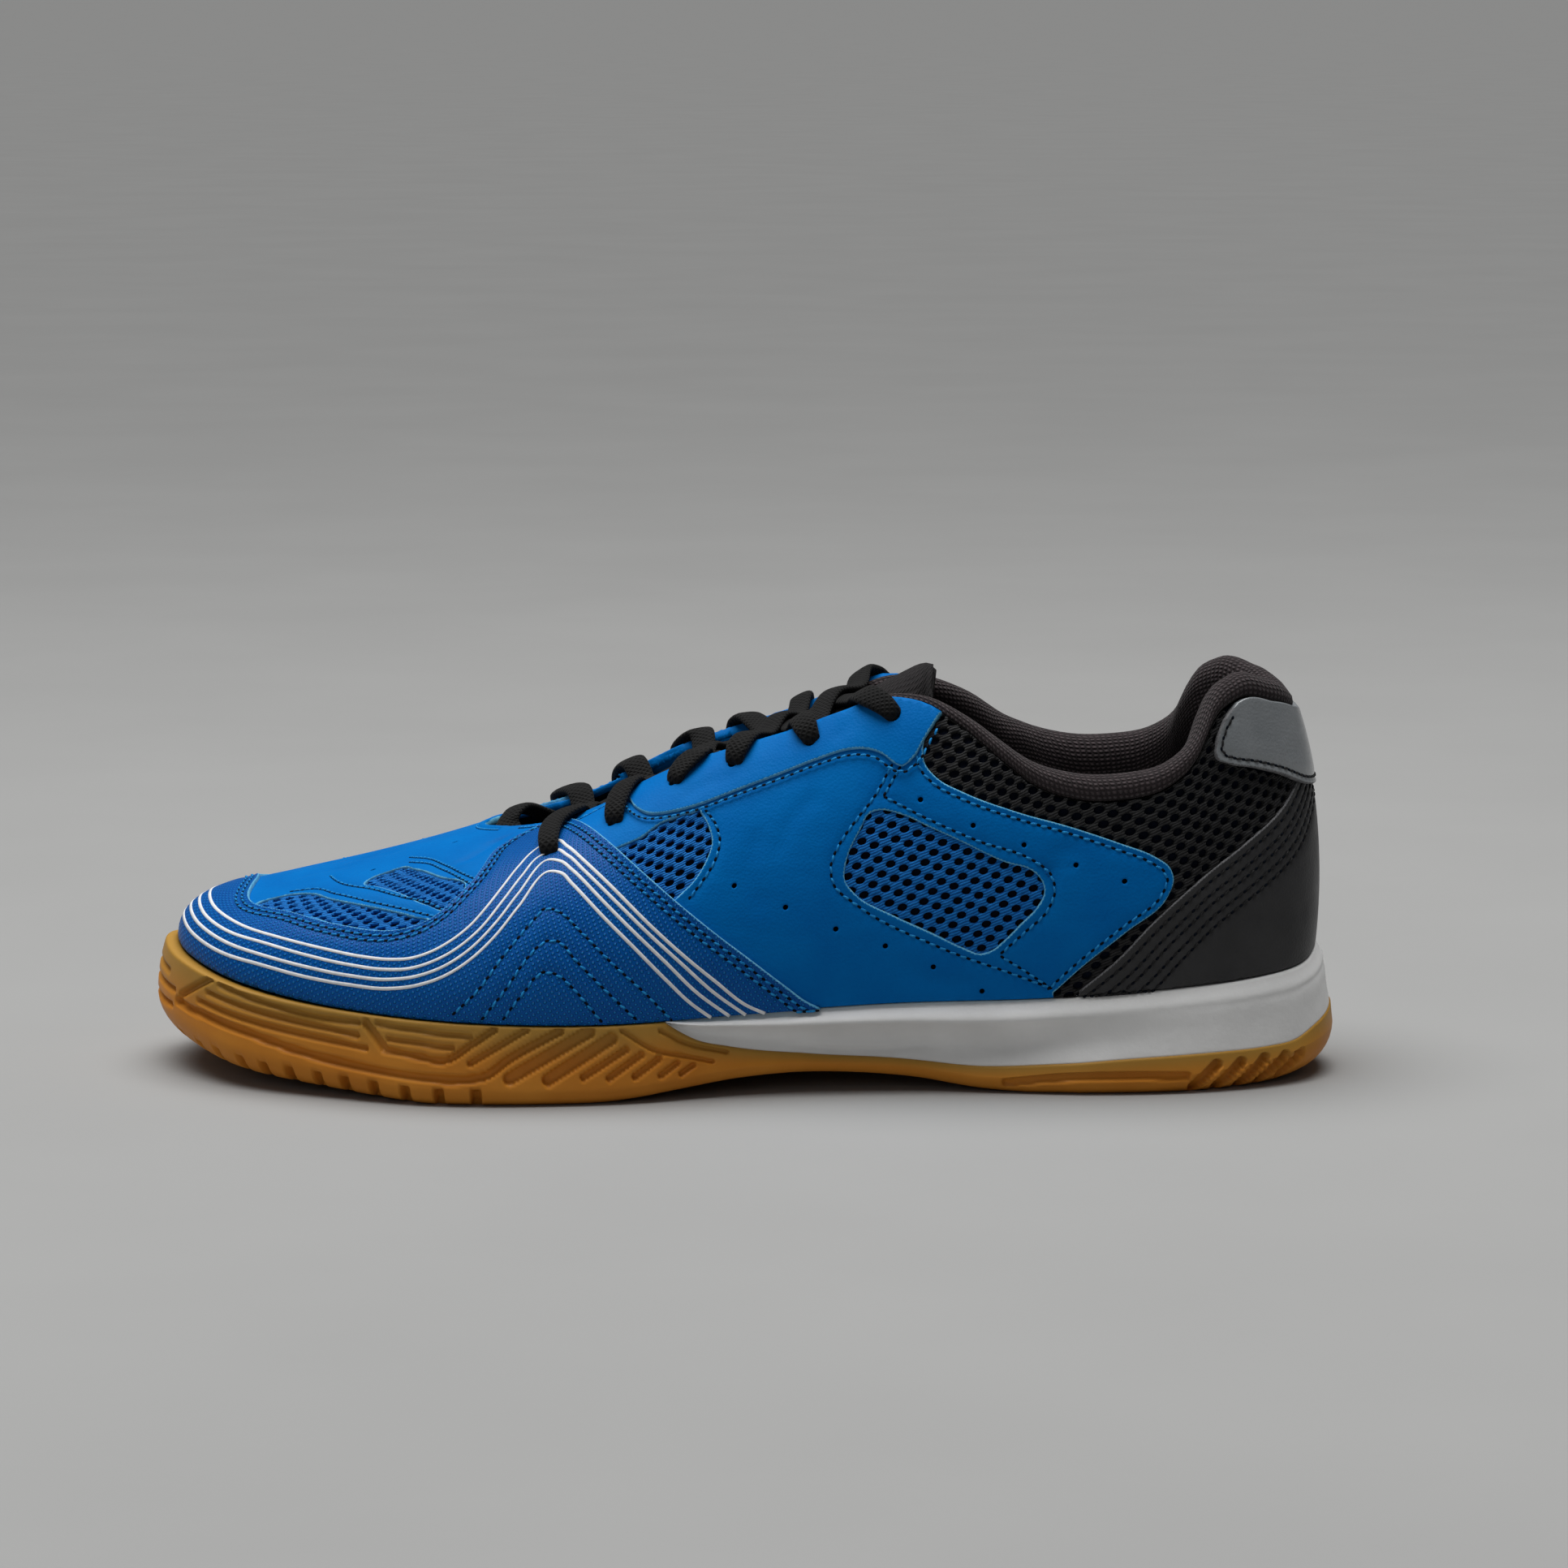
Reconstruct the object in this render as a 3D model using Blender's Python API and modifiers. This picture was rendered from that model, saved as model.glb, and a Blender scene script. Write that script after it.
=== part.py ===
"""A left table tennis shoe that stands empty on its sole.

Metres, +Z up. The toe points to -X and the outer side of the foot to -Y. The origin is on the
floor, under the middle of the shoe. Tables and sizes below are in millimetres.

The shoe is drawn by stations: angles round the shoe in plan, from the heel (0 degrees) along the
outer side to the toe (180) and back along the inner side (360). The upper runs from its foot
line on the sole up to its rim, which is the edge of collar and throat, in ribs of one curve each.
"""

import math

import bmesh
import bpy
import numpy as np
from mathutils import Matrix, Vector
from mathutils.geometry import delaunay_2d_cdt

MM = 0.001

# Driving dimensions
SOLE_LENGTH = 290.0
UPPER_LENGTH = 279.2
WALL = 2.2
OVERLAY = 1.2
GAP = 0.3
OVERLAY_GAP = 0.65
FLOOR_THICKNESS = 3.5
CUP_WALL = 3.8
CUP_TAPER = 0.4
CUP_RIM = 0.8
WEDGE_EDGE = 0.7
WEDGE_RELIEF = 0.9
TONGUE_THICKNESS = 5.0
TONGUE_DEPTH = 5.0
LACE_WIDTH = 6.4
LACE_THICKNESS = 2.2
GROOVE_DEPTH = 1.1
GROOVE_WIDTH = 1.8
NOTCH_WIDTH = 2.0
NOTCH_HEIGHT = 3.4
NOTCH_REACH = 3.0
TREAD_DEPTH = 1.4

# A lace strand, between two eyelets: where it passes the near edge of the throat and the far one,
# as a share of the way to the next eyelet, its height over edge and tongue, and its dip inside
LACE_EDGE = 0.3
LACE_FAR = 0.8
LACE_EDGE_LIFT = 0.4
LACE_CROWN = 3.4
LACE_DIP = -0.6
LACE_INSIDE = 3.0
LACE_FACE_MIDDLE = (-0.35, 0.0, 0.94)
LACE_FACE_FAR = (-0.3, 0.0, 0.95)
LACE_SECTION = [(-0.5, 0), (-0.36, 0.5), (0.36, 0.5), (0.5, 0), (0.36, -0.5), (-0.36, -0.5)]
LACE_SECTIONS = 7

# Overlays end at these shares, above the foot line and below the rim
SHARE_FOOT = 0.012
SHARE_TOP = 0.985

# Mesh density. MIDDLE_RING is how far the rings under the foot lie inside the side ones, FLAT what
# one station and one share measure, roughly, where overlays are meshed.
UPPER_STATIONS = np.concatenate(
    [np.arange(0, 30, 6), np.arange(30, 48, 3), np.arange(48, 78, 5), np.arange(78, 181, 6)]
)
UPPER_RINGS = 8
SOLE_STATIONS = 32
STEP_PAIR = 0.06
STEP_LAP = 0.18
MIDDLE_RING = 16.0
INSOLE_STATIONS = 22
TONGUE_STATIONS = np.array([168, 158, 146, 134, 122, 112, 103, 95, 88, 82, 77.0])
FLAT = np.array([1.9, 62.0])
SLIVER = 0.1


def columns(names, rows):
    """A table as its named columns."""
    return dict(zip(names.split(), np.array(rows, float).T))


# The last, a row for each rib. lateral and medial are the foot line's distances from the long
# axis, height is the foot line's own, and rise, bulge, run and drop place the two handles of the
# rib's curve: rise above and bulge beyond the foot, run out from and drop below the rim.
RIBS = columns(
    "station lateral medial height rise bulge run drop",
    [
        (0, 0.0, 0.0, 31.5, 20, 2.0, 5.5, 16),
        (15, -15.5, 15.5, 28.4, 20, 2.4, 4.5, 16),
        (30, -26.5, 26.0, 26.8, 19, 2.8, 3.5, 15),
        (45, -33.0, 32.0, 25.2, 17, 3.0, 2.5, 14),
        (60, -34.5, 32.0, 23.3, 20, 3.0, 4.0, 16),
        (75, -34.5, 28.5, 22.2, 27, 4.5, 12.0, 14),
        (90, -38.0, 29.5, 20.4, 26, 4.5, 14.0, 11),
        (105, -46.5, 43.0, 19.5, 24, 3.5, 17.0, 9),
        (120, -48.0, 50.5, 20.7, 20, 3.0, 24.0, 9),
        (135, -38.5, 45.5, 22.5, 17, 2.5, 32.0, 12),
        (150, -26.5, 37.5, 25.7, 15, 1.5, 40.0, 15),
        (165, -9.5, 26.5, 29.1, 14.5, 0.8, 46.0, 16.5),
        (180, 9.0, 9.0, 31.2, 14.5, 0.3, 48.0, 16.5),
    ],
)

# The upper's rim: heel, ankle dip, top eyelet, then down the throat to its front. lift is what
# the inner side stands higher.
RIM = columns(
    "station along half height lift",
    [
        (0, 134.0, 0.0, 88.8, 0),
        (12, 132.0, 8.0, 90.5, 0),
        (23, 127.0, 14.5, 92.6, 0),
        (32, 118.5, 20.5, 93.6, 0),
        (37, 112.5, 24.5, 88.6, 0.3),
        (40, 108.5, 27.5, 80.0, 0.8),
        (44, 102.0, 29.8, 74.0, 1.2),
        (50, 90.0, 31.5, 70.9, 1.5),
        (55, 79.5, 32.0, 71.2, 1.5),
        (60, 69.0, 31.8, 74.8, 1.2),
        (64, 61.0, 30.2, 80.8, 0.8),
        (68, 53.0, 27.0, 87.2, 0.4),
        (72, 44.0, 22.5, 92.6, 0),
        (76, 35.0, 19.5, 93.8, 0),
        (82, 23.5, 18.5, 90.0, 0),
        (88, 13.0, 17.6, 85.8, 0),
        (94, 2.5, 17.0, 82.4, 0),
        (100, -8.0, 16.5, 79.0, 0),
        (107, -18.0, 16.0, 75.0, 0),
        (113, -26.0, 15.5, 71.0, 0),
        (120, -34.0, 15.0, 67.2, 0),
        (127, -41.0, 14.4, 64.2, 0),
        (136, -48.5, 13.2, 62.2, 0),
        (148, -56.0, 10.8, 60.9, 0),
        (164, -62.0, 6.0, 60.0, 0),
        (180, -64.0, 0.0, 59.6, 0),
    ],
)
RIM["lateral"] = -RIM["half"]
RIM["medial"] = RIM["half"]

# The sole's outline, and the round of its lower edge
SOLE = columns(
    "station lateral medial round",
    [
        (0, 0.0, 0.0, 10),
        (15, -17.5, 17.5, 9),
        (30, -29.5, 29.0, 6.5),
        (45, -36.5, 35.5, 4.5),
        (60, -38.0, 35.5, 4),
        (75, -37.5, 31.5, 3),
        (90, -41.0, 32.5, 3),
        (105, -49.5, 46.0, 4),
        (120, -50.5, 53.5, 4.5),
        (135, -40.5, 48.0, 5.5),
        (150, -28.5, 39.5, 7.5),
        (165, -10.5, 28.0, 9),
        (180, 9.5, 9.5, 10),
    ],
)

# The long axis is moved so that the sole's two sides lie equally far from the origin
AXIS_SHIFT = -1.0
for _table in (RIBS, RIM, SOLE):
    _table["lateral"] += AXIS_SHIFT
    _table["medial"] += AXIS_SHIFT

# Height of the tread: flat under heel and ball, arched between them, sprung at the toe
TREAD = columns(
    "station height",
    [
        (0, 1.5),
        (15, 1.0),
        (30, 0.3),
        (42, 0.0),
        (62, 0.0),
        (67, 0.8),
        (75, 3.8),
        (83, 5.0),
        (90, 4.3),
        (96, 2.4),
        (103, 0.3),
        (108, 0.0),
        (122, 0.0),
        (128, 0.9),
        (135, 2.0),
        (150, 3.8),
        (165, 6.2),
        (180, 7.2),
    ],
)

# Upper edge of the gum rubber behind the wedge's tip; in front of it the gum is a full cup
WEDGE_TIP = 98.0
GUM_TOP = columns(
    "station height",
    [
        (0, 17.0),
        (15, 12.6),
        (30, 10.4),
        (45, 9.4),
        (60, 7.3),
        (75, 8.3),
        (85, 9.8),
        (90, 11.8),
        (94, 14.2),
        (WEDGE_TIP, 17.0),
        (104, 12.0),
        (150, 14.5),
        (180, 19.0),
    ],
)

# How far the wedge's side lies inside the sole's outline, from its lower edge to its upper one
WEDGE_SIDE = columns(
    "station low waist ridge top",
    [
        (0, 0.9, 1.8, 2.8, 4.2),
        (30, 0.9, 1.5, 2.0, 3.4),
        (50, 1.0, 1.5, 1.6, 3.0),
        (70, 1.2, 2.2, 0.6, 2.4),
        (90, 1.2, 2.2, 0.3, 2.2),
        (180, 1.2, 2.2, 0.3, 2.2),
    ],
)
WEDGE_SHARES = {"low": 0.04, "waist": 0.4, "ridge": 0.74, "top": 0.94}

# Rounded edge at the top of the gum: in from the outline, and down from its top
GUM_EDGE = [(0.5, 0.6), (1.2, 0.0)]

# The insole's edge: in from the foot line, and up from it
INSOLE_EDGE = [(3.4, 0.2), (3.6, 2.2), (4.8, 4.2)]

# First and last station and number of the sole's edge notches and heel slashes
NOTCHES = (121.6, 172.0, 11)
SLASHES = (12.0, 40.0, 5)
# First and last station and share of the wall's height of the grooves along the cup
RIB_GROOVES = [(116, 170, 0.36), (122, 172, 0.66)]
# Grooves across the tread: place along the shoe and half length
TREAD_GROOVES = [(-96, 28), (-80, 34), (-64, 36), (-48, 34), (-32, 28), (78, 24), (92, 24)]

# Section of the padded collar: out from the upper's outer face, and up from its rim
COLLAR_SECTION = columns(
    "out up",
    [
        (-0.1, 0.4),
        (0.7, 1.8),
        (0.8, 3.6),
        (-0.6, 5.6),
        (-3.2, 6.6),
        (-6.2, 5.8),
        (-8.2, 3.0),
        (-8.8, -2.0),
        (-7.8, -12.0),
        (-4.6, -24.0),
        (-2.9, -24.0),
        (-2.9, 0.4),
    ],
)
# Size of that section along the collar
COLLAR_SIZE = columns(
    "station roll tail",
    [
        (0, 1.0, 1.0),
        (40, 1.0, 1.0),
        (58, 1.0, 0.8),
        (66, 0.8, 0.3),
        (73, 0.5, 0.06),
    ],
)
COLLAR_END = 73
# Where the collar's inner face and its lower edge stand: out from the upper, and up from its rim
COLLAR_BACK = -2.9
COLLAR_LOW = 0.4

# How far the tongue reaches down inside the upper on each side
TONGUE_WING = columns("station width", [(75.8, 1.35), (86, 9.0)])
# The tongue's free end: reach past its last station, and width there
TONGUE_TIP = [(6.0, 0.9), (10.5, 0.78)]
# Handles of the arch across the tongue, as a share of the throat's width
TONGUE_ARCH = 0.34

# Pattern lines of the outer side are drawn on a sheet that stands square to a line of sight,
# a little above level. Each point is (along, up) from the sheet's centre.
SHEET_CENTRE = np.array([9.2, 0.0, 70.0])
SIGHT_DISTANCE = 1250.0
SIGHT_ELEVATION = 9.0

TOE_GUARD_EDGE = [
    (9.0, -56.0),
    (0.4, -49.8),
    (-17.4, -36.4),
    (-33.4, -23.0),
    (-43.0, -14.4),
    (-48.0, -10.6),
    (-53.5, -8.8),
    (-60.2, -10.6),
    (-69.8, -15.8),
    (-76.8, -22.6),
    (-82.8, -30.2),
    (-88.8, -34.4),
    (-94.4, -36.0),
    (-101.0, -36.2),
    (-112.6, -34.2),
    (-121.4, -31.8),
    (-130.2, -29.8),
]
TOE_GUARD_TIP = 0.36

EYESTAY_EDGE = [
    (-38.0, -3.4),
    (-36.4, -6.0),
    (-33.2, -7.4),
    (-27.2, -6.8),
    (-21.2, -5.2),
    (-13.2, -2.2),
    (-3.2, 1.6),
    (9.2, 6.4),
    (15.6, 8.4),
    (20.4, 8.6),
    (24.2, 7.4),
    (28.6, 4.4),
    (31.6, 6.4),
    (35.0, 11.8),
    (39.4, 17.2),
]

QUARTER_EDGE = [
    (9.8, -55.4),
    (2.4, -49.6),
    (-11.4, -38.4),
    (-23.4, -28.6),
    (-20.8, -23.0),
    (-17.8, -17.8),
    (-16.6, -13.8),
    (-17.8, -9.4),
    (-20.0, -6.6),
    (-12.6, -3.2),
    (-2.8, 0.6),
    (9.6, 5.2),
    (15.8, 7.2),
    (20.2, 7.4),
    (23.6, 6.2),
    (28.6, 2.9),
    (32.6, 5.6),
    (34.4, 4.4),
    (38.0, 1.2),
    (44.6, -2.2),
    (56.0, -6.4),
    (69.4, -10.2),
    (82.8, -14.6),
    (91.6, -18.0),
    (95.6, -20.8),
    (96.2, -23.6),
    (94.2, -28.4),
    (84.0, -37.0),
    (73.6, -45.2),
    (66.6, -51.4),
]

WINDOW_EDGE = [
    (23.2, -6.4),
    (28.8, -7.4),
    (42.8, -13.8),
    (54.8, -19.4),
    (62.0, -21.4),
    (64.2, -26.4),
    (62.0, -31.6),
    (54.8, -36.8),
    (49.4, -42.0),
    (44.8, -40.8),
    (36.8, -36.8),
    (26.8, -32.4),
    (17.6, -27.2),
    (14.6, -22.8),
    (15.4, -19.0),
    (19.0, -10.8),
]

COUNTER_EDGE = [
    (73.4, -51.0),
    (82.8, -43.0),
    (90.2, -35.2),
    (100.6, -25.6),
    (112.4, -16.0),
    (120.6, -8.6),
]
COUNTER_BACK = 0.66

PATCH_EDGE = [
    (110.0, 19.6),
    (107.8, 12.2),
    (107.0, 6.6),
    (111.0, 5.0),
    (117.0, 4.2),
]
PATCH_BACK = 0.70

EYELETS = [
    (-57.6, -17.4),
    (-41.8, -9.2),
    (-26.6, 0.2),
    (-11.6, 4.4),
    (6.8, 10.4),
    (27.2, 16.2),
]

MATERIALS = {
    "blue_leather": ((0.004, 0.115, 0.46), 0.5),
    "blue_textured": ((0.003, 0.075, 0.36), 0.45),
    "black_leather": ((0.014, 0.014, 0.016), 0.5),
    "black_knit": ((0.012, 0.010, 0.011), 0.9),
    "black_cord": ((0.008, 0.008, 0.008), 0.8),
    "white_foam": ((0.78, 0.77, 0.75), 0.55),
    "gum_rubber": ((0.52, 0.24, 0.055), 0.5),
    "grey_felt": ((0.08, 0.08, 0.085), 0.9),
    "grey_leather": ((0.11, 0.11, 0.12), 0.35),
}


def hermite(knots, values, at):
    """A smooth curve through table rows, with slopes taken from the neighbouring rows."""
    slopes = np.gradient(values, knots)
    i = np.clip(np.searchsorted(knots, at, side="right") - 1, 0, len(knots) - 2)
    span = knots[i + 1] - knots[i]
    t = (at - knots[i]) / span
    rest = 1 - t
    return (
        values[i] * (1 + 2 * t) * rest**2
        + values[i + 1] * (3 - 2 * t) * t**2
        + span * t * rest * (slopes[i] * rest - slopes[i + 1] * t)
    )


def both_sides(table, name, stations):
    """A column that is the same on both sides, level where it passes heel and toe."""
    knots, values = table["station"], table[name]
    folded = 180 - np.abs(180 - np.asarray(stations, float) % 360)
    if knots[0] == 0 and knots[-1] == 180:
        knots = np.concatenate([-knots[2:0:-1], knots, 360 - knots[-2:-4:-1]])
        values = np.concatenate([values[2:0:-1], values, values[-2:-4:-1]])
    return hermite(knots, values, folded)


def across(table, stations):
    """Where the outline lies across the shoe: lateral up to the toe, then medial."""
    knots = np.concatenate([table["station"], 360 - table["station"][-2::-1]])
    values = np.concatenate([table["lateral"], table["medial"][-2::-1]])
    knots = np.concatenate([knots[-3:-1] - 360, knots, knots[1:3] + 360])
    values = np.concatenate([values[-3:-1], values, values[1:3]])
    return hermite(knots, values, np.asarray(stations, float) % 360)


def outline(table, length, stations):
    """Points of a plan outline, as x and y."""
    angles = np.radians(stations)
    return np.stack([length / 2 * np.cos(angles), across(table, stations)], -1)


def outward(table, length, stations):
    """Unit vectors square to a plan outline, pointing out of it."""
    step = 0.5
    run = outline(table, length, stations + step) - outline(table, length, stations - step)
    normals = np.stack([run[..., 1], -run[..., 0]], -1)
    return -normals / np.linalg.norm(normals, axis=-1, keepdims=True)


def inset(table, length, stations, distance):
    """The outline moved inwards by a distance."""
    moved = np.asarray(distance, float)[..., None] * outward(table, length, stations)
    return outline(table, length, stations) - moved


def with_height(plan, height):
    """Plan points or directions with a height."""
    return np.concatenate([plan, np.broadcast_to(height, plan.shape[:-1])[..., None]], -1)


def foot_line(stations):
    """The upper's lower edge, along the sole."""
    plan = outline(RIBS, UPPER_LENGTH, stations)
    return with_height(plan, both_sides(RIBS, "height", stations))


def rim_line(stations):
    """The upper's upper edge, along collar and throat."""
    medial = np.asarray(stations) % 360 > 180
    height = both_sides(RIM, "height", stations) + medial * both_sides(RIM, "lift", stations)
    plan = np.stack([both_sides(RIM, "along", stations), across(RIM, stations)], -1)
    return with_height(plan, height)


def upper(stations, share):
    """Points on the upper's outer face: share is 0 at the foot line and 1 at the rim."""
    foot, rim = foot_line(stations), rim_line(stations)
    reach = (foot - rim)[..., :2]
    reach = reach / np.linalg.norm(reach, axis=-1, keepdims=True)
    size = {name: both_sides(RIBS, name, stations) for name in ("rise", "bulge", "run", "drop")}
    bulge = size["bulge"][..., None] * outward(RIBS, UPPER_LENGTH, stations)
    low = foot + with_height(bulge, size["rise"])
    high = rim + with_height(size["run"][..., None] * reach, -size["drop"])
    t = np.asarray(share, float)[..., None]
    rest = 1 - t
    return foot * rest**3 + 3 * low * t * rest**2 + 3 * high * t**2 * rest + rim * t**3


def upper_normal(stations, share):
    """Unit vectors square to the upper's outer face, pointing away from the foot."""
    turn, climb = 0.4, 0.01
    share = np.asarray(share, float)
    round_it = upper(stations + turn, share) - upper(stations - turn, share)
    above, below = np.minimum(share + climb, 1), np.maximum(share - climb, 0)
    up_it = upper(stations, above) - upper(stations, below)
    normals = np.cross(up_it, round_it)
    return normals / np.linalg.norm(normals, axis=-1, keepdims=True)


def off_upper(stations, share, distance):
    """Points at a distance out from the upper's outer face."""
    return upper(stations, share) + np.asarray(distance)[..., None] * upper_normal(stations, share)


def share_below(stations, distance):
    """The share of each rib at a distance down from the rim, measured along the rib."""
    shares = np.linspace(1, 0, 81)
    stations, distance = np.broadcast_arrays(np.asarray(stations, float), distance)
    found = []
    for station, want in zip(stations.ravel(), distance.ravel()):
        points = upper(np.full_like(shares, station), shares)
        steps = np.linalg.norm(np.diff(points, axis=0), axis=1)
        found.append(np.interp(want, np.append(0, np.cumsum(steps)), shares))
    return np.array(found).reshape(stations.shape)


def on_sheet(points):
    """Where points appear on the drawing sheet."""
    tilt = math.radians(SIGHT_ELEVATION)
    ahead = np.array([0, math.cos(tilt), -math.sin(tilt)])
    up = np.array([0, math.sin(tilt), math.cos(tilt)])
    seen = points - (SHEET_CENTRE - SIGHT_DISTANCE * ahead)
    scale = SIGHT_DISTANCE / (seen @ ahead)
    return np.stack([scale * seen[..., 0], scale * (seen @ up)], -1)


def from_sheet(drawn):
    """Stations and shares on the outer side for points drawn on the sheet."""
    turn, climb = 0.2, 0.005
    farthest = np.array([2, 0.04])
    stations, shares = np.meshgrid(np.linspace(4, 176, 173), np.linspace(0, 1, 61))
    grid = on_sheet(upper(stations, shares))
    turned_away = upper_normal(stations, shares)[..., 1] >= 0.15
    found = []
    for point in np.array(drawn, float):
        miss = np.where(turned_away, np.inf, np.linalg.norm(grid - point, axis=-1))
        best = np.unravel_index(np.argmin(miss), miss.shape)
        at = np.array([stations[best], shares[best]])
        for _ in range(6):
            here = on_sheet(upper(at[0], at[1]))
            by_station = (on_sheet(upper(at[0] + turn, at[1])) - here) / turn
            by_share = (on_sheet(upper(at[0], at[1] + climb)) - here) / climb
            slopes = np.stack([by_station, by_share], 1)
            move = np.linalg.lstsq(slopes, point - here, rcond=None)[0]
            at = at + np.clip(move, -farthest, farthest)
            at[1] = np.clip(at[1], 0.0, 1.0)
        found.append(at)
    return np.array(found)


def material(name):
    """A plain finish by its name in the table."""
    colour, roughness = MATERIALS[name]
    made = bpy.data.materials.get(name) or bpy.data.materials.new(name)
    made.use_nodes = True
    made.diffuse_color = (*colour, 1)
    shader = made.node_tree.nodes["Principled BSDF"]
    shader.inputs["Base Color"].default_value = (*colour, 1)
    shader.inputs["Roughness"].default_value = roughness
    return made


def add_object(name, bm, finish, collection):
    """A named object from a bmesh."""
    mesh = bpy.data.meshes.new(name)
    bm.to_mesh(mesh)
    bm.free()
    mesh.materials.append(material(finish))
    mesh.shade_smooth()
    mesh.set_sharp_from_angle(angle=math.radians(40))
    made = bpy.data.objects.new(name, mesh)
    collection.objects.link(made)
    return made


def loft(name, sections, finish, collection):
    """A closed solid through closed sections of equal size; the end sections fold flat."""
    size = sections.shape[1]
    bm = bmesh.new()
    rows = [[bm.verts.new(Vector(p * MM)) for p in section] for section in sections]
    for here, there in zip(rows, rows[1:]):
        for i in range(size):
            j = (i + 1) % size
            bm.faces.new((here[i], here[j], there[j], there[i]))
    for end in (rows[0], rows[-1]):
        spread = np.ptp([v.co for v in end], axis=0)
        if spread[1] > GAP * MM:
            bm.faces.new(end)
    bmesh.ops.remove_doubles(bm, verts=bm.verts, dist=1e-6)
    bmesh.ops.dissolve_degenerate(bm, edges=bm.edges, dist=1e-6)
    bmesh.ops.recalc_face_normals(bm, faces=bm.faces)
    return add_object(name, bm, finish, collection)


def make_upper(collection):
    """The hollow upper: a sheet over all ribs, made a wall that grows inwards."""
    stations = np.concatenate([UPPER_STATIONS, 360 - UPPER_STATIONS[-2::-1]])
    count = len(stations) - 1
    bm = bmesh.new()
    bmesh.ops.create_grid(bm, x_segments=count, y_segments=UPPER_RINGS, size=0.5)
    shares = np.array([v.co[:2] for v in bm.verts]) + 0.5
    turned = np.interp(shares[:, 0] * count, np.arange(count + 1), stations)
    for vert, point in zip(bm.verts, upper(turned, shares[:, 1])):
        vert.co = point * MM
    bmesh.ops.remove_doubles(bm, verts=bm.verts, dist=1e-6)
    bmesh.ops.reverse_faces(bm, faces=bm.faces)
    made = add_object("upper", bm, "blue_leather", collection)
    wall = made.modifiers.new("wall", "SOLIDIFY")
    wall.thickness = WALL * MM
    wall.offset = -1
    wall.use_even_offset = True


def sole_stations(step_at):
    """Stations for the sole's sections, with a close pair where its height steps."""
    pair = [step_at - STEP_PAIR, step_at + STEP_PAIR]
    return np.sort(np.append(np.linspace(0, 180, SOLE_STATIONS + 1), pair))


def both_edges(table, length, stations, rings):
    """Sections from rings of (inset, height): the lateral rings, then the medial ones backwards."""
    sides = []
    for turn in (stations, 360 - stations):
        sides.append([with_height(inset(table, length, turn, gap), height) for gap, height in rings])
    lateral, medial = sides
    return np.stack([*lateral, *reversed(medial)], 1)


def sole_heights(stations):
    """Heights of the tread, of the floor over it and of the gum's edge behind the wedge's tip."""
    tread = np.maximum(both_sides(TREAD, "height", stations), 0)
    gum = both_sides(GUM_TOP, "height", stations)
    return tread, tread + FLOOR_THICKNESS, gum


def make_outsole(collection):
    """The gum rubber: a cup in front of the wedge's tip, a low shell behind it."""
    step_at = WEDGE_TIP + STEP_LAP
    stations = sole_stations(step_at)
    tread, floor, gum = sole_heights(stations)
    top = np.where(stations > step_at, both_sides(RIBS, "height", stations) - GAP, gum)
    floor = np.minimum(floor, top - CUP_RIM)
    curve = np.minimum(both_sides(SOLE, "round", stations), 0.8 * (top - tread))
    level = np.ones_like(stations)
    middle = MIDDLE_RING * np.sin(np.radians(stations))
    inner = (CUP_WALL + CUP_TAPER) * level
    rings = [(middle + curve, tread)]
    for a in np.radians([0, 30, 60, 90]):
        rings.append((curve * (1 - math.sin(a)), tread + curve * (1 - math.cos(a))))
    rings += [(gap * level, top - down) for gap, down in GUM_EDGE]
    rings += [(CUP_WALL * level, top), (inner, floor), (middle + inner, floor)]
    sections = both_edges(SOLE, SOLE_LENGTH, stations, rings)
    return loft("outsole", sections, "gum_rubber", collection)


def make_midsole(collection):
    """The foam wedge: it shows behind its tip and lies inside the gum cup in front of it."""
    step_at = WEDGE_TIP - STEP_LAP
    stations = sole_stations(step_at)
    _, floor, gum = sole_heights(stations)
    relief = WEDGE_RELIEF * np.cos(np.radians(stations)) ** 6
    top = both_sides(RIBS, "height", stations) - GAP - relief
    floor = np.minimum(floor, gum - CUP_RIM) + GAP
    inner = (CUP_WALL + CUP_TAPER + GAP) * np.ones_like(stations)
    middle = MIDDLE_RING * np.sin(np.radians(stations)) + inner
    step = gum + GAP
    rings = [(middle, floor), (inner, floor), (inner, step)]
    for name, share in WEDGE_SHARES.items():
        side = np.where(stations > step_at, inner, both_sides(WEDGE_SIDE, name, stations))
        rings.append((side, step + share * (top - step)))
    rings += [(rings[-1][0] + WEDGE_EDGE, top), (middle + 1, top)]
    loft("midsole", both_edges(SOLE, SOLE_LENGTH, stations, rings), "white_foam", collection)


def make_insole(collection):
    """The sheet under the foot, inside the upper."""
    stations = np.linspace(0, 180, INSOLE_STATIONS + 1)
    height = both_sides(RIBS, "height", stations)
    rings = [(gap + 0 * stations, height + up) for gap, up in INSOLE_EDGE]
    loft("insole", both_edges(RIBS, UPPER_LENGTH, stations, rings), "grey_felt", collection)


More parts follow.
